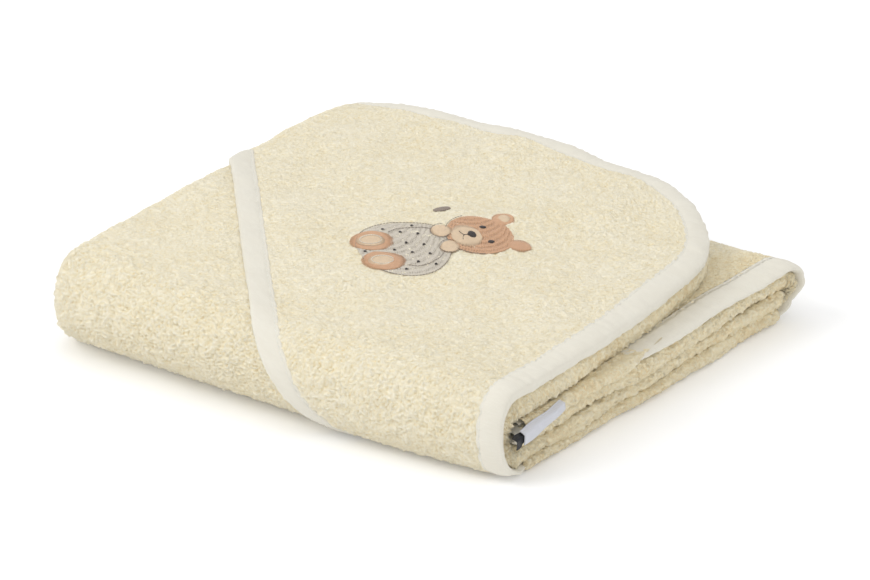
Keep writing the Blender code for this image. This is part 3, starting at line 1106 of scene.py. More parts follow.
@dataclass
class TowelBody:
    """The towel's own square of terry, folded in three both ways."""

    pile: Pile
    wrap: Wrap = field(default_factory=lambda: WRAP)
    finish: TerryFinish = TERRY
    inner_pile: float = 1.25
    # How much painted shade darkens and warms the pile towards the +x end.
    painted_end_shade: float = 0.42

    def roughness(self, points: Array) -> Array:
        """How far the loops stand up: more on the front fold and the sides than on top, where the pile's
        painted shade is darker too.

        Args:
            points: settled positions.

        Returns:
            0 where the loops lie flat, 1 where they stand up.
        """
        side = np.clip((-points[..., 1] - 0.085) / 0.03, 0, 1)
        end = np.clip((points[..., 0] - 0.118) / 0.012, 0, 1) * (points[..., 2] < 0.036)
        return np.clip(0.25 + 0.75 * side + 0.6 * end, 0, 1)

    def build(self) -> list[bpy.types.Object]:
        """Makes one sheet for each run of the cloth."""
        made = []
        for segment in SEGMENTS:
            s = segment.rows
            lip = self.wrap.turned_lip(s)
            one = self.wrap.panel(s, 0.0)
            two = self.wrap.crease(s, lambda a: 0 * a)
            three = self.wrap.inner(s)
            x, depth, u = (np.concatenate([lip[k], one[k], two[k][:, 1:], three[k]], 1) for k in range(3))
            first = lip[0].shape[1] + one[0].shape[1]
            run = np.broadcast_to(s[:, None], x.shape)
            points = SETTLE(FOLD.place(x, run, depth))
            normals = -face_normals(points)
            height, shade = self.pile.at(u, run, self.roughness(points))
            outside = np.arange(x.shape[1])[None] < first + two[0].shape[1]
            bare = ramp(FOLD.edge_distance(np.where(outside, u, 0.0), run), 0.0100, 0.0128)
            bare = np.maximum(bare, FOLD.turned_in(run))
            height = height * np.where(outside, 1.0, self.inner_pile) * bare - PRESSED * (1 - bare)
            # Painted shade: the pile's colour goes darker and warmer towards the +x end, which stands in
            # shade.
            end = np.clip((points[..., 0] - 0.100) / 0.025, 0, 1) * (points[..., 2] < 0.041)
            shade = np.clip(shade - self.painted_end_shade * end, 0, 1)
            points = points + normals * height[..., None]
            hidden = self.hidden(x, run, first)
            obj = grid_piece(f"towel_terry_{segment.name}", points, np.stack([u, run], -1), shade,
                             hidden=hidden, reverse=True)
            self.finish.dress(obj)
            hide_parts(*TERRY_NODES[segment.name])
            segment.carry(obj)
            made.append(obj)
        return made

    def hidden(self, x: Array, run: Array, panel: int) -> Array:
        """Cells of the first panel that lie under the hood or the hood flap.

        Args:
            x: position across the pack.
            run: run of the cloth.
            panel: number of columns in the first panel.

        Returns:
            True for each hidden cell.
        """
        first = (np.arange(x.shape[1])[None] < panel)
        under_hood = first & (x > FOLD.hypotenuse_x(run) + 0.022) & (run > FOLD.turned(160))
        y = FOLD.back_y - (FOLD.s_middle - run)
        above = FOLD.edge_x(FOLD.at_y(y)) - 0.03
        under_flap = first & (run < FOLD.s_middle) & (x < above) & (y < 0.115)
        hidden = under_hood | under_flap
        return hidden[:-1, :-1] & hidden[1:, 1:] & hidden[:-1, 1:] & hidden[1:, :-1]


@dataclass
class HoodPanel:
    """The triangle of terry sewn over the towel's corner."""

    pile: Pile
    wrap: Wrap = field(default_factory=lambda: WRAP)
    finish: TerryFinish = TERRY
    tuck: float = 0.0055
    nap: float = 0.15
    pattern_shift: float = 0.31

    def build(self) -> list[bpy.types.Object]:
        """Makes the panel's runs over the front fold and the hood flap."""
        made = []
        for segment in SEGMENTS[1:]:
            s = segment.rows
            rise = FOLD.hood_rise(s)[:, None]
            one = self.wrap.panel(s, rise)
            two = self.wrap.crease(s, lambda a: FOLD.hood_lift * np.cos(a / 2), 3.0)
            x, depth, u = (np.concatenate([one[k], two[k][:, 1:]], 1) for k in range(3))
            run = np.broadcast_to(s[:, None], x.shape)
            points = SETTLE(FOLD.place(x, run, depth))
            normals = -face_normals(points)
            side = np.clip((-points[..., 1] - 0.085) / 0.03, 0, 1)
            # Rougher loops on the front fold also darken the painted shade there.
            height, shade = self.pile.at(u + self.pattern_shift, run, self.nap + 0.6 * side)
            bare = ramp(FOLD.edge_distance(u, run), 0.0100, 0.0128)
            bare = bare * ramp((u - FOLD.hypotenuse_x(run)) / math.sqrt(2), 0.0089, 0.0115)
            points = points + normals * (height * bare - PRESSED * (1 - bare))[..., None]
            on = u > FOLD.hypotenuse_x(run) + self.tuck * math.sqrt(2)
            keep = on[:-1, :-1] & on[1:, 1:] & on[:-1, 1:] & on[1:, :-1]
            flat = np.stack([u + self.pattern_shift, run], -1)
            obj = grid_piece(f"hood_terry_{segment.name}", points, flat, shade, keep=keep, reverse=True)
            self.finish.dress(obj)
            cells = np.diff(-u, axis=1)[:-1] * np.diff(run, axis=0)[:, :-1]
            area = float((cells * keep).sum())
            if HOOD_NODES[segment.name]:
                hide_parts(*HOOD_NODES[segment.name])
            segment.carry(obj)
            made.append(obj)
        return made


@dataclass(frozen=True)
class TapeProfile:
    """Section of a folded tape over an edge: how far in, and how high or low, in millimetres."""

    inward: tuple[float, ...] = (12.9, 12.8, 12.4, 11.9, 11.2, 10.4, 8.5, 6.5, 4.5, 3.0, 1.8, 0.9, 0.3, 0.0,
                                 0.0, 0.3, 0.9, 1.8, 3.0, 4.5, 6.5, 8.5, 10.4, 11.2, 12.0, 12.6, 12.9)
    over: tuple[float, ...] = (-0.9, 0.0, 0.42, 0.40, 0.12, 0.42, 0.55, 0.45, 0.10, -0.35, -0.85, -1.35, -1.85,
                               -2.30)
    under: tuple[float, ...] = (1.75, 1.35, 0.90, 0.50, 0.20, 0.00, -0.12, -0.18, -0.15, 0.0, -0.2, -0.1, 0.6)

    def lifts(self, above: Array, below: float) -> Array:
        """Heights of the section's points for faces above and below the cloth.

        Args:
            above: height of the upper face, for each row.
            below: height of the lower face.

        Returns:
            Rows of heights, one for each point of the section.
        """
        upper = above[:, None] + np.array(self.over)[None] * MM
        lower = np.broadcast_to(below + np.array(self.under)[None] * MM, (len(above), len(self.under)))
        middle = (upper[:, -1:] + lower[:, :1]) / 2
        upper = np.maximum(upper, middle - 0.0001)
        return np.concatenate([upper, lower], 1)


def puckers(waves: Waves, along: Array, across: Array) -> Array:
    """Small folds that the stitching draws across a tape, fading out at its run's ends.

    Args:
        waves: the noise that the folds follow.
        along: run along the tape.
        across: girth across the tape.

    Returns:
        Heights in metres.
    """
    run = along - along[:1]
    fade = ramp(np.minimum(run, run[-1:] - run), 0.0, 0.005)
    return 0.16 * MM * fade * waves.at(across * 0.25 + 0.13, along)


@dataclass
class EdgeBinding:
    """The tape folded over the towel's edge, all the way round."""

    profile: TapeProfile = field(default_factory=TapeProfile)
    finish: TapeFinish = TAPE
    pitch: float = 0.0016
    turned_shift: float = 0.0035
    sunk: float = 0.0006
    waves: Waves = field(default_factory=lambda: Waves(5.5 * MM, 0.45, 31))
    seams: list[tuple[Segment, Array]] = field(default_factory=list)

    def above(self, s: Array) -> Array:
        """Height of the cloth's face under the tape, higher where the hood is sewn in."""
        rise = FOLD.hood_rise(np.asarray(s, float)) - self.sunk
        return np.where(s > FOLD.s_base, np.maximum(rise, 0.0), 0.0)

    def side(self, s: Array) -> tuple[Array, Array, Array]:
        """Rows along the straight side: x and s of the section, and its lifts.

        Args:
            s: run of the cloth, one value for each row.

        Returns:
            Grids of x, s and lift.
        """
        n = np.array(self.profile.inward)[None] * MM
        turned = FOLD.turned_in(s)[:, None]
        x = FOLD.edge_x(s)[:, None] - n - self.turned_shift * turned
        lifts = self.profile.lifts(self.above(s), -FOLD.outer_layer)
        middle = -FOLD.outer_layer / 2
        lifts = lifts + (middle + (lifts - middle) * 0.35 - lifts) * turned
        return x, np.broadcast_to(s[:, None], x.shape), lifts

    def corner(self) -> tuple[Array, Array, Array]:
        """Rows round the hood's rounded corner."""
        a = steps(0.0, math.pi / 2, self.pitch / FOLD.corner_radius)[1:, None]
        r = FOLD.corner_radius - np.array(self.profile.inward)[None] * MM
        y = FOLD.corner_y + r * np.sin(a)
        x = FOLD.leaning_x(y) - FOLD.corner_radius + r * np.cos(a)
        lifts = self.profile.lifts(np.full(len(a), FOLD.hood_lift - self.sunk), -FOLD.outer_layer)
        return x, FOLD.at_y(y), lifts

    def end_path(self, start: float, s_end: float, inward: int) -> tuple[Array, Array, Array, Array]:
        """Path of an end edge along the letter fold: x, depth, and which way is out.

        Args:
            start: x where the edge starts.
            s_end: run of the cloth at the edge.
            inward: 1 where the cloth lies at larger s, -1 at smaller s.

        Returns:
            x, depth, and the outward direction in x and in depth.
        """
        half, wrap = FOLD.flap / 2, WRAP
        roll = float(wrap.roll_x(np.array([s_end + inward * 0.006]))[0])
        x1 = steps(start, FOLD.left, self.pitch)[1:]
        a = steps(0.0, math.pi, self.pitch / half)[1:]
        x2 = steps(FOLD.left, roll, self.pitch)[1:]
        b = steps(0.0, math.pi, self.pitch / wrap.roll_radius)[1:]
        x3 = steps(roll, FOLD.left + 0.004, 2 * self.pitch)[1:]
        lower = FOLD.outer_layer + FOLD.gap
        x = np.concatenate([x1, FOLD.left - half * np.sin(a), x2, roll + wrap.roll_radius * np.sin(b), x3])
        d = np.concatenate([0 * x1, half - half * np.cos(a), 0 * x2 + FOLD.flap - wrap.press,
                            FOLD.flap - wrap.press - wrap.roll_radius * (1 - np.cos(b)), 0 * x3 + lower])
        nx = np.concatenate([0 * x1, -np.sin(a), 0 * x2, np.sin(b), 0 * x3])
        nd = np.concatenate([0 * x1 - 1, -np.cos(a), 0 * x2 + 1, np.cos(b), 0 * x3 - 1])
        return x, d, nx, nd

    def end(self, start: float, s_end: float, inward: int, hooded: bool) -> Array:
        """Settled rows along an end edge.

        Args:
            start: x where the edge starts.
            s_end: run of the cloth at the edge.
            inward: 1 where the cloth lies at larger s, -1 where it lies at smaller s.
            hooded: whether the hood is sewn into the edge.

        Returns:
            Grid of positions.
        """
        x, d, nx, nd = self.end_path(start, s_end, inward)
        away = np.clip(np.arccos(np.clip(-nd, -1, 1)), 0, math.pi)
        above = (FOLD.hood_lift * np.cos(away / 2) - self.sunk) * hooded
        first = np.cumsum(np.hypot(np.gradient(x), np.gradient(d))) < 0.30
        above = np.where(first, np.maximum(above, 0.0), 0.0)
        lifts = self.profile.lifts(above, -FOLD.outer_layer + self.sunk)
        n = np.array(self.profile.inward)[None] * MM
        run = s_end + inward * n
        return FOLD.place(x[:, None] + nx[:, None] * lifts, run + 0 * lifts, d[:, None] + nd[:, None] * lifts)

    def make(self, name: str, segment: Segment, raw: Array, nodes: Iterable[str]) -> bpy.types.Object:
        """Settles, puckers and dresses a strip of tape.

        Args:
            name: the piece's name.
            segment: the run of cloth that it moves with.
            raw: positions in the ideal pack.
            nodes: CAD nodes that it stands for.

        Returns:
            The new object.
        """
        points = SETTLE(raw)
        along = np.cumsum(np.linalg.norm(np.diff(points[:, 13], axis=0, prepend=points[:1, 13]), axis=-1))
        girth = np.cumsum(np.linalg.norm(np.diff(points, axis=1, prepend=points[:, :1]), axis=-1), 1)
        start = float(segment.rows[0])
        v = np.broadcast_to(along[:, None], girth.shape)
        points = points + face_normals(points) * puckers(self.waves, v + start, girth)[..., None]
        obj = grid_piece(name, points, np.stack([girth, v + start], -1))
        self.finish.dress(obj)
        nodes = tuple(nodes)
        if nodes:
            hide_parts(*nodes)
        segment.carry(obj)
        self.seams.append((segment, points[:, 4]))
        if segment.name == "base":
            self.seams.append((segment, points[:, 23]))
        return obj

    def build(self) -> list[bpy.types.Object]:
        """Makes the tape along the side, round the corner and along both ends."""
        made = []
        for segment in SEGMENTS:
            low, high = segment.rows[0], segment.rows[-1]
            if segment.name == "base":
                low = FOLD.s_end + 0.002
            if segment.name == "hood":
                high = FOLD.at_y(FOLD.corner_y)
            s = steps(low, high, self.pitch)
            x, run, lifts = self.side(s)
            raw = FOLD.place(x, run, -lifts)
            if segment.name == "hood":
                cx, cs, cl = self.corner()
                start = float(FOLD.leaning_x(FOLD.edge_a_y) - FOLD.corner_radius)
                raw = np.concatenate([raw, FOLD.place(cx, cs, -cl), self.end(start, FOLD.s_top, -1, True)])
            made.append(self.make(f"edge_tape_{segment.name}", segment, raw, TAPE_NODES[segment.name]))
        tail = self.end(FOLD.half_x - 0.013, FOLD.s_end, 1, False)
        made.append(self.make("edge_tape_middle_end", SEGMENTS[0], tail,
                              ("binding_middle_flap_end", "binding_middle_flap_end_inner")))
        return made


@dataclass
class HoodBinding:
    """The tape over the hood's opening edge, slanting across the pack."""

    finish: TapeFinish = TAPE
    across: tuple[float, ...] = (0.9, 0.2, -0.1, 0.1, 0.6, 1.4, 2.6, 4.4, 6.2, 8.1, 9.5, 10.2, 11.0, 11.5,
                                 11.9, 12.0)
    up: tuple[float, ...] = (0.2, 0.5, 1.4, 2.3, 3.0, 3.45, 3.75, 3.95, 4.0, 3.95, 3.80, 3.50, 3.75, 3.65,
                             3.2, 2.4)
    pitch: float = 0.0016
    waves: Waves = field(default_factory=lambda: Waves(6.5 * MM, 0.45, 41))
    seams: list[tuple[Segment, Array]] = field(default_factory=list)

    def spiral(self, flat: Array, lift: Array) -> tuple[Array, Array]:
        """x and depth of flat positions across the first panel and the crease.

        Args:
            flat: flat position across the cloth.
            lift: height over the towel's face.

        Returns:
            World x and depth.
        """
        half = FOLD.flap / 2
        angle = np.clip((FOLD.left - flat) / half, 0, 3.0)
        reach = half + lift * np.where(angle > 0, np.cos(angle / 2), 1.0)
        x = np.where(angle > 0, FOLD.left - reach * np.sin(angle), flat)
        return x, np.where(angle > 0, half - reach * np.cos(angle), -lift)

    def build(self) -> list[bpy.types.Object]:
        """Makes the tape's runs over the front fold, the hood flap and the crease."""
        made = []
        shift = np.array(self.across)[None] * MM * math.sqrt(2)
        for segment in SEGMENTS[1:]:
            low, high = segment.rows[0], segment.rows[-1]
            if segment.name == "hood":
                high = FOLD.meet + 0.019
            s = steps(low, high, self.pitch)[:, None]
            share = FOLD.hood_rise(s) / FOLD.hood_lift
            lift = np.array(self.up)[None] * MM * share
            flat = FOLD.hypotenuse_x(s) + shift
            x, depth = self.spiral(flat, lift)
            points = SETTLE(FOLD.place(x, np.broadcast_to(s, x.shape), depth))
            v = np.broadcast_to(s * math.sqrt(2), x.shape)
            girth = np.broadcast_to(np.array(self.across)[None] * MM, x.shape)
            # The flat texture is sheared back, so that the weave runs along the tape
            v = v + shift / math.sqrt(2)
            points = points + face_normals(points) * puckers(self.waves, v, girth)[..., None]
            obj = grid_piece(f"hood_tape_{segment.name}", points, np.stack([girth, v], -1))
            self.finish.dress(obj)
            float((high - low) * math.sqrt(2))
            if HOOD_TAPE_NODES[segment.name]:
                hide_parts(*HOOD_TAPE_NODES[segment.name])
            segment.carry(obj)
            self.seams.append((segment, points[:, 11]))
            made.append(obj)
        return made


# ---------------------------------------------------------------- threads

@dataclass(frozen=True)
class Strand:
    """The shape of one stitch: a short thread with rounded ends."""

    radius: float = 0.00022
    sides: int = 6
    rings: int = 5
    flatten: float = 0.75
    crown: float = 0.00035

    def lay(self, starts: Array, ends: Array, ups: Array, arch: float) -> tuple[Array, Array, Array]:
        """Lays a stitch between each pair of points.

        Args:
            starts: first ends.
            ends: second ends.
            ups: the way up from the cloth at each stitch.
            arch: height of the middle over the ends, as a share of the length.

        Returns:
            Points, faces and flat positions of all stitches.
        """
        way = ends - starts
        long = np.linalg.norm(way, axis=1, keepdims=True)
        way = way / np.maximum(long, 1e-9)
        side = np.cross(way, ups)
        side = side / np.maximum(np.linalg.norm(side, axis=1, keepdims=True), 1e-9)
        up = np.cross(side, way)
        t = np.linspace(0, 1, self.rings)
        girth = np.sqrt(np.clip(1 - (2 * t - 1) ** 6, 0.10, 1)) * self.radius
        rise = np.minimum(arch * long, self.crown) * (1 - (2 * t - 1) ** 2)[None]
        turn = np.linspace(0, 2 * math.pi, self.sides, endpoint=False)
        centre = starts[:, None] + (ends - starts)[:, None] * t[None, :, None] + up[:, None] * rise[..., None]
        ring = (side[:, None, None] * np.cos(turn)[None, None, :, None]
                + up[:, None, None] * (np.sin(turn) * self.flatten)[None, None, :, None])
        points = centre[:, :, None] + ring * girth[None, :, None, None]
        count = len(starts)
        i = np.arange(self.rings - 1)[:, None] * self.sides
        j = np.arange(self.sides)[None]
        k = (j + 1) % self.sides
        one = np.stack([i + j, i + k, i + self.sides + k, i + self.sides + j], -1).reshape(-1, 4)
        caps = [np.arange(self.sides)[::-1], np.arange(self.sides) + (self.rings - 1) * self.sides]
        each = self.rings * self.sides
        offset = (np.arange(count) * each)[:, None, None]
        quads = (one[None] + offset).reshape(-1, 4)
        ends_faces = (np.stack(caps)[None] + offset).reshape(-1, self.sides)
        u = np.broadcast_to((turn / (2 * math.pi) * 0.0012)[None, None], points.shape[:3])
        v = (long[:, :, None] * t[None, :, None] + np.arange(count)[:, None, None] * 0.0013) + 0 * u
        return points.reshape(-1, 3), [quads, ends_faces], np.stack([v, u], -1).reshape(-1, 2)

    def piece(self, name: str, starts: Array, ends: Array, ups: Array, arch: float = 0.04
              ) -> bpy.types.Object:
        """Makes all the stitches one object.

        Args:
            name: the piece's name.
            starts: first ends.
            ends: second ends.
            ups: the way up at each stitch.
            arch: height of the middle, as a share of the length.

        Returns:
            The new object.
        """
        points, faces, flat = self.lay(starts, ends, ups, arch)
        return new_piece(name, points, faces, flat)


@dataclass
class Seams:
    """Straight stitches along the inner edge of every tape."""

    stitch: float = 0.0024
    pitch: float = 0.0032
    strand: Strand = field(default_factory=lambda: Strand(radius=0.00024))

    def build(self, seams: Sequence[tuple[Segment, Array]]) -> list[bpy.types.Object]:
        """Sews along each given line of points.

        Args:
            seams: each seam's run of cloth and its line of points.

        Returns:
            One object for each seam.
        """
        made = []
        centre = np.array([0.0, 0.0, 0.022])
        for number, (segment, line) in enumerate(seams):
            run = np.concatenate([[0], np.cumsum(np.linalg.norm(np.diff(line, axis=0), axis=1))])
            at = np.arange(0.0008, run[-1] - self.stitch, self.pitch)
            if len(at) < 2:
                continue
            a = np.stack([np.interp(at, run, line[:, k]) for k in range(3)], -1)
            b = np.stack([np.interp(at + self.stitch, run, line[:, k]) for k in range(3)], -1)
            middle = (a + b) / 2
            up = (middle - centre) * np.array([0.02, 0.02, 1.0])
            fold = middle[:, 1] < FOLD.front_y
            up[fold] = middle[fold] - np.array([0.0, FOLD.front_y, FOLD.front_radius])
            up[fold, 0] = 0
            up = up / np.linalg.norm(up, axis=1, keepdims=True)
            obj = self.strand.piece(f"seam_{segment.name}_{number}", a, b, up, 0.05)
            Thread.SEAM.value.dress(obj)
            segment.carry(obj)
            made.append(obj)
        return made


class Fill(Enum):
    """How an area is stitched."""

    SATIN = "satin"
    ROWS = "rows"


@dataclass(frozen=True)
class Patch:
    """An oval of embroidery in the teddy's own directions, in millimetres.

    up runs from the seat to the head, and out to the teddy's left.
    """

    name: str
    node: str
    up: float
    out: float
    tall: float
    wide: float
    thread: Thread
    level: float
    fill: Fill = Fill.SATIN
    slant: float = 0.0
    tilt: float = 0.0


@dataclass
class Embroidery:
    """A sitting teddy and a small oval over it, in satin and fill stitch."""

    lean: float = 54.0
    seat: tuple[float, float] = (-0.003, -0.029)
    pitch: float = 0.00044
    strand: Strand = field(default_factory=lambda: Strand(radius=0.00029, rings=6))
    outline: Strand = field(default_factory=lambda: Strand(radius=0.00020, rings=4))
    seed: int = 71
    patches: tuple[Patch, ...] = (
        Patch("body", "bear_body", 14, 0, 23.0, 28, Thread.OATMEAL, 0.05, Fill.ROWS, 12),
        Patch("ear_left", "bear_ear_left", 70.0, 13.8, 5.6, 6.4, Thread.TAN, 0.10, Fill.SATIN, 20),
        Patch("ear_right", "bear_ear_right", 70.0, -13.8, 5.6, 6.4, Thread.TAN, 0.10, Fill.SATIN, -20),
        Patch("head", "bear_head", 53.5, 0, 16.6, 19.4, Thread.TAN, 0.20, Fill.ROWS, 0),
        Patch("sole_left", "bear_sole_left", 0.5, 10.5, 11.0, 9.4, Thread.TAN, 0.35, Fill.SATIN, 80),
        Patch("sole_right", "bear_sole_right", 0.5, -10.5, 11.0, 9.4, Thread.TAN, 0.35, Fill.SATIN, 100),
        Patch("pad_left", "bear_sole_pad_left", 0.0, 10.5, 7.2, 5.4, Thread.PALE, 0.62, Fill.SATIN, 90),
        Patch("pad_right", "bear_sole_pad_right", 0.0, -10.5, 7.2, 5.4, Thread.PALE, 0.62, Fill.SATIN, 90),
        Patch("muzzle", "bear_muzzle", 46.6, 0, 7.6, 9.8, Thread.PALE, 0.50, Fill.SATIN, 0),
        Patch("nose", "bear_nose", 49.4, 0, 2.0, 3.0, Thread.DARK, 0.95, Fill.SATIN, 0),
        Patch("eye_left", "bear_eye_left", 57.2, 7.0, 1.5, 1.4, Thread.DARK, 0.55, Fill.SATIN, 0),
        Patch("eye_right", "bear_eye_right", 57.2, -7.0, 1.5, 1.4, Thread.DARK, 0.55, Fill.SATIN, 0),
        Patch("oval", "small_oval_motif", 44, 33.0, 4.4, 3.4, Thread.TAUPE, 0.05, Fill.SATIN, 30),
        Patch("paw_left", "", 35.5, 7.6, 4.8, 5.8, Thread.PALE, 0.50, Fill.SATIN, 60, 24),
        Patch("paw_right", "", 35.5, -7.6, 4.8, 5.8, Thread.PALE, 0.50, Fill.SATIN, 120, -24),
        Patch("inner_ear_left", "", 70.6, 14.0, 3.0, 3.6, Thread.PALE, 0.36, Fill.SATIN, 90),
        Patch("inner_ear_right", "", 70.6, -14.0, 3.0, 3.6, Thread.PALE, 0.36, Fill.SATIN, 90),
    )

    def world(self, up: Array, out: Array, level: Array) -> Array:
        """Settled positions of points given in the teddy's directions, in millimetres.

        Args:
            up: distance towards the head.
            out: distance to the teddy's left.
            level: height over the hood.

        Returns:
            World positions in metres.
        """
        turn = math.radians(self.lean)
        x = self.seat[0] + (up * math.cos(turn) - out * math.sin(turn)) * MM
        y = self.seat[1] + (up * math.sin(turn) + out * math.cos(turn)) * MM
        z = FOLD.top + FOLD.hood_lift + np.asarray(level) * MM
        return SETTLE(np.stack(np.broadcast_arrays(x, y, z), -1))

    def rows(self, patch: Patch, rng: np.random.Generator) -> tuple[Array, Array]:
        """Ends of the stitches that fill a patch, in the patch's millimetres.

        Args:
            patch: the oval to fill.
            rng: random numbers for uneven ends.

        Returns:
            First and second ends.
        """
        turn = math.radians(patch.slant)
        c, s = math.cos(turn), math.sin(turn)
        # The oval's reach across and along the stitches
        reach = math.sqrt((patch.tall * c) ** 2 + (patch.wide * s) ** 2)
        lines = np.arange(-reach + 0.15, reach - 0.1, self.pitch * 1000)
        a_rows, b_rows = [], []
        for k, line in enumerate(lines):
            # Points line*(c, s) + t*(-s, c) on the oval
            qa = (s / patch.tall) ** 2 + (c / patch.wide) ** 2
            qb = 2 * line * (-s * c / patch.tall ** 2 + s * c / patch.wide ** 2)
            qc = line * line * ((c / patch.tall) ** 2 + (s / patch.wide) ** 2) - 1
            root = qb * qb - 4 * qa * qc
            if root <= 0:
                continue
            t0, t1 = ((-qb + sign * math.sqrt(root)) / (2 * qa) for sign in (-1, 1))
            t0, t1 = t0 - rng.uniform(0, 0.35), t1 + rng.uniform(0, 0.35)
            cuts = [t0, t1]
            if patch.fill is Fill.ROWS:
                length = 4.6
                first = t0 + length * (0.35 + 0.5 * ((k * 0.37) % 1.0))
                cuts = [t0] + list(np.arange(first, t1 - 1.0, length)) + [t1]
            for m, n in zip(cuts[:-1], cuts[1:]):
                jitter = rng.uniform(-0.04, 0.04, 2)
                a_rows.append((line * c - m * s + jitter[0], line * s + m * c))
                b_rows.append((line * c - n * s + jitter[1], line * s + n * c))
        return np.array(a_rows), np.array(b_rows)

    def sewn(self, name: str, thread: Thread, a: Array, b: Array, level: float, strand: Strand,
             arch: float = 0.045) -> bpy.types.Object:
        """Makes stitches between points given in the teddy's directions.

        Args:
            name: the patch's name.
            thread: its thread.
            a: first ends.
            b: second ends.
            level: height over the hood, in millimetres.
            strand: the stitch's shape.
            arch: height of the middle, as a share of the length.

        Returns:
            The new object.
        """
        low = self.world(a[:, 0], a[:, 1], level)
        high = self.world(b[:, 0], b[:, 1], level)
        ups = np.broadcast_to(np.array([0.0, 0.0, 1.0]), low.shape)
        obj = strand.piece(f"embroidery_{name}", low, high, ups, arch)
        thread.value.dress(obj)
        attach(obj, "hood_flap")
        return obj

    def patch(self, patch: Patch, rng: np.random.Generator) -> bpy.types.Object:
        """Fills one oval.

        Args:
            patch: the oval.
            rng: random numbers for uneven ends.

        Returns:
            The new object.
        """
        a, b = self.rows(patch, rng)
        tilt = math.radians(patch.tilt)
        turn = np.array([[math.cos(tilt), math.sin(tilt)], [-math.sin(tilt), math.cos(tilt)]])
        centre = np.array([patch.up, patch.out])
        obj = self.sewn(patch.name, patch.thread, a @ turn + centre, b @ turn + centre, patch.level,
                        self.strand)
        if patch.node:
            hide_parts(patch.node)
        return obj

    def line(self, name: str, thread: Thread, path: Array, level: float, stitch: float = 1.7
             ) -> bpy.types.Object:
        """Runs back stitches along a path in the teddy's millimetres.

        Args:
            name: the line's name.
            thread: its thread.
            path: points of the line.
            level: height over the hood, in millimetres.
            stitch: length of a stitch, in millimetres.

        Returns:
            The new object.
        """
        run = np.concatenate([[0], np.cumsum(np.linalg.norm(np.diff(path, axis=0), axis=1))])
        at = np.linspace(0, run[-1], max(2, round(run[-1] / stitch) + 1))
        p = np.stack([np.interp(at, run, path[:, k]) for k in range(2)], -1)
        return self.sewn(name, thread, p[:-1], p[1:], level, self.outline, 0.03)

    def oval_path(self, up: float, out: float, tall: float, wide: float, start: float, stop: float) -> Array:
        """Points along part of an oval; angles in degrees from the head's side."""
        a = np.radians(np.linspace(start, stop, 60))
        return np.stack([up + tall * np.cos(a), out + wide * np.sin(a)], -1)

    def build(self) -> list[bpy.types.Object]:
        """Sews the teddy."""
        rng = np.random.default_rng(self.seed)
        made = [self.patch(patch, rng) for patch in self.patches]
        grey = Thread.TAUPE
        for name, path, level in (
                ("body_line", self.oval_path(14, 0, 23.4, 28.5, -168, 168), 0.32),
                ("arm_left", np.array([(32, 11), (28, 16), (22, 19), (16, 20), (11, 17)], float), 0.60),
                ("arm_right", np.array([(32, -11), (28, -16), (22, -19), (16, -20), (11, -17)], float), 0.60),
                ("paw_line_left", self.oval_path(35.5, 7.6, 5.2, 6.2, 60, 300), 0.90),
                ("paw_line_right", self.oval_path(35.5, -7.6, 5.2, 6.2, 60, 300), 0.90),
                ("head_line", self.oval_path(53.5, 0, 17.0, 19.8, 100, 260), 0.60)):
            made.append(self.line(name, grey, path, level))
        mouth = np.array([(47.6, 0), (45.2, 0), (44.0, 2.0), (43.8, 3.6)], float)
        made.append(self.line("mouth_left", Thread.DARK, mouth, 1.05, 1.2))
        made.append(self.line("mouth_right", Thread.DARK, mouth * [1, -1], 1.05, 1.2))
        # Cream rings on the soles are painted highlights: they stand for the glint on the pads' satin
        # stitches.
        for name, out in (("left", 10.5), ("right", -10.5)):
            ring = self.oval_path(0, out, 5.6, 3.9, 0, 345)
            made.append(self.line(f"sole_highlight_ring_{name}", Thread.SEAM, ring, 1.15, 1.3))
        made.append(self.dashes())
        return made

    def dashes(self) -> bpy.types.Object:
        """Sews small dark dashes over the teddy's suit in a regular half-drop."""
        a, b = [], []
        for row, up in enumerate(np.arange(-6, 37, 7.6)):
            for out in np.arange(-31.2, 32, 10.4) + (row % 2) * 5.2:
                body = ((up - 14) / 21) ** 2 + (out / 26) ** 2 < 1
                foot = any(((up - 0.5) / 13) ** 2 + ((out - f) / 11.4) ** 2 < 1 for f in (10.5, -10.5))
                paw = any(((up - 35.5) / 7.2) ** 2 + ((out - f) / 8.2) ** 2 < 1 for f in (7.6, -7.6))
                if not body or foot or paw:
                    continue
                for k in range(4):
                    a.append((up - 0.9 + 0.1 * k, out - 0.7 + 0.42 * k))
                    b.append((up + 0.9 - 0.1 * k, out - 0.5 + 0.42 * k))
        return self.sewn("dashes", Thread.DARK, np.array(a), np.array(b), 0.60, self.outline)


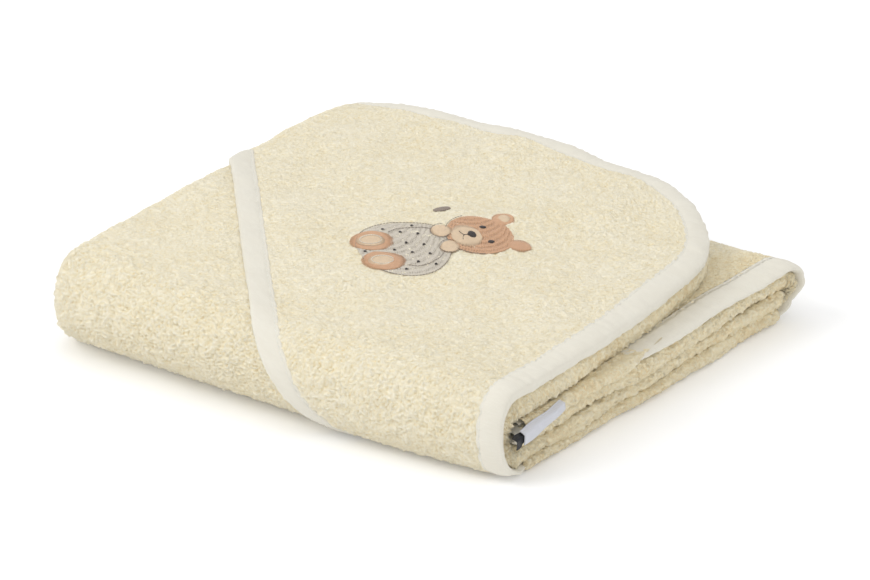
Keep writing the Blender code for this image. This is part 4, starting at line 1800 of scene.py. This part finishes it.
@dataclass
class Label:
    """A ribbon label sewn into the middle flap's seam, plain on both sides."""

    name: str
    node: str
    finish: RibbonFinish
    low_y: float
    high_y: float
    low_z: float
    high_z: float
    x: float
    bulge: float
    drop: float
    thickness: float = 0.00035

    def build(self) -> bpy.types.Object:
        """Makes the ribbon, bowed out, with its sewn edge turned in."""
        rows, columns = 46, 22
        t, w = np.meshgrid(np.linspace(0, 1, rows), np.linspace(0, 1, columns), indexing="ij")
        y = self.low_y + (self.high_y - self.low_y) * t
        z = self.high_z - (self.high_z - self.low_z) * (1 - w) * (1 - 0.45 * t) + self.drop * (t - 0.5)
        bow = self.bulge * np.sin(math.pi * t) * (1 - w) + 0.0004 * np.sin(9 * t + 2 * w)
        tuck = np.clip(w - 0.75, 0, 1) / 0.25
        x = self.x + bow - 0.0030 * tuck ** 2
        face = np.stack([x, y, z], -1)
        normal = face_normals(face)
        front, back = face + normal * self.thickness / 2, face - normal * self.thickness / 2
        flat = np.stack([y, z], -1)
        points = np.concatenate([front.reshape(-1, 3), back.reshape(-1, 3)])
        one = grid_faces(rows, columns)[0]
        count = rows * columns
        rim = np.concatenate([np.arange(columns), np.arange(1, rows) * columns + columns - 1,
                              (rows - 1) * columns + np.arange(columns - 1)[::-1],
                              np.arange(1, rows - 1)[::-1] * columns])
        nxt = np.roll(rim, -1)
        sides = np.stack([rim, nxt, nxt + count, rim + count], -1)
        obj = new_piece(self.name, points, [np.concatenate([one, one[:, ::-1] + count, sides])],
                        np.concatenate([flat.reshape(-1, 2)] * 2))
        self.finish.dress(obj)
        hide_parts(self.node)
        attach(obj, "base")
        return obj


# ---------------------------------------------------------------- the studio

@dataclass
class Studio:
    """White floor, soft light and the camera."""

    azimuth: float = 36.57
    elevation: float = 25.49
    distance: float = 2.003
    lens: float = 165.5
    aim: tuple[float, float, float] = (0.0, 0.0, 0.020)
    shift: tuple[float, float] = (0.02014, 0.00724)
    floor_z: float = -0.0006

    def build(self) -> None:
        """Sets everything up."""
        self.floor()
        self.lights()
        self.camera()

    def floor(self) -> None:
        """A wide pale floor."""
        edge = 6.0
        points = np.array([(-edge, -edge, 0), (edge, -edge, 0), (edge, edge, 0), (-edge, edge, 0)], float)
        obj = new_piece("studio_floor", points + [0, 0, self.floor_z], [np.array([[0, 1, 2, 3]])])
        material = bpy.data.materials.new("studio_paper")
        graph = Graph(material)
        grain = graph.noise(graph.where(), 0.01, 2.0)
        base = graph.mix(grain, (0.90, 0.905, 0.915), (0.93, 0.93, 0.93))
        graph.surface(base, 0.9, None, {"Specular IOR Level": 0.1, "Emission Color": (1.0, 1.0, 1.0, 1.0),
                                        "Emission Strength": 0.12})
        obj.data.materials.append(material)

    def lamp(self, name: str, azimuth: float, elevation: float, distance: float, size: float, power: float,
             colour: Colour = (1.0, 1.0, 1.0)) -> None:
        """An area light that looks at the towel.

        Args:
            name: the lamp's name.
            azimuth: degrees from the front.
            elevation: degrees up.
            distance: metres away.
            size: side of the lamp in metres.
            power: watts.
            colour: its colour.
        """
        a, e = math.radians(azimuth), math.radians(elevation)
        where = Vector((math.sin(a) * math.cos(e), -math.cos(a) * math.cos(e), math.sin(e))) * distance
        data = bpy.data.lights.new(name, "AREA")
        data.size, data.energy, data.color = size, power, colour
        obj = bpy.data.objects.new(name, data)
        obj.location = where
        obj.rotation_euler = (-where).to_track_quat("-Z", "Y").to_euler()
        bpy.context.scene.collection.objects.link(obj)

    def lights(self) -> None:
        """A key from the left, a broad overhead and a bright room."""
        self.lamp("key", -38, 42, 2.6, 1.3, 22)
        self.lamp("overhead", 20, 82, 2.4, 2.2, 14)
        self.lamp("fill", 95, 22, 2.8, 1.8, 9)
        world = bpy.data.worlds.new("room")
        world.use_nodes = True
        back = world.node_tree.nodes["Background"]
        back.inputs["Color"].default_value = (1.0, 1.0, 1.0, 1.0)
        back.inputs["Strength"].default_value = 0.68
        bpy.context.scene.world = world
        view = bpy.context.scene.view_settings
        view.view_transform = "Standard"
        view.look = "None"

    def camera(self) -> None:
        """A long lens from the front right."""
        a, e = math.radians(self.azimuth), math.radians(self.elevation)
        away = Vector((math.sin(a) * math.cos(e), -math.cos(a) * math.cos(e), math.sin(e)))
        data = bpy.data.cameras.new("camera")
        data.lens, data.sensor_width = self.lens, 36.0
        data.shift_x, data.shift_y = self.shift
        data.clip_end = 30
        obj = bpy.data.objects.new("camera", data)
        obj.location = Vector(self.aim) + away * self.distance
        obj.rotation_euler = away.to_track_quat("Z", "Y").to_euler()
        bpy.context.scene.collection.objects.link(obj)
        bpy.context.scene.camera = obj


def report(made: Union[bpy.types.Object, Sequence[bpy.types.Object]]) -> None:
    """Logs each new piece."""
    for obj in made if isinstance(made, (list, tuple)) else [made]:
        log.info("%s: %d faces", obj.name, len(obj.data.polygons))


def main() -> None:
    """Builds the towel piece by piece."""
    logging.basicConfig(level=logging.INFO, format="%(name)s %(message)s")
    pile = Pile()
    report(TowelBody(pile).build())
    report(HoodPanel(pile).build())
    edge, hood = EdgeBinding(), HoodBinding()
    report(edge.build())
    report(hood.build())
    report(Seams().build(edge.seams + hood.seams))
    report(Embroidery().build())
    report(Label("brand_label_ribbon", "brand_label", LABEL_WHITE, -0.0985, -0.0650, 0.0205, 0.0270, 0.1348,
                 0.0010, 0.0026).build())
    report(Label("care_label_ribbon", "care_label", LABEL_DARK, -0.1035, -0.0933, 0.0188, 0.0242, 0.1340,
                 0.0004, 0.0010).build())
    Studio().build()


if __name__ == "__main__":
    main()
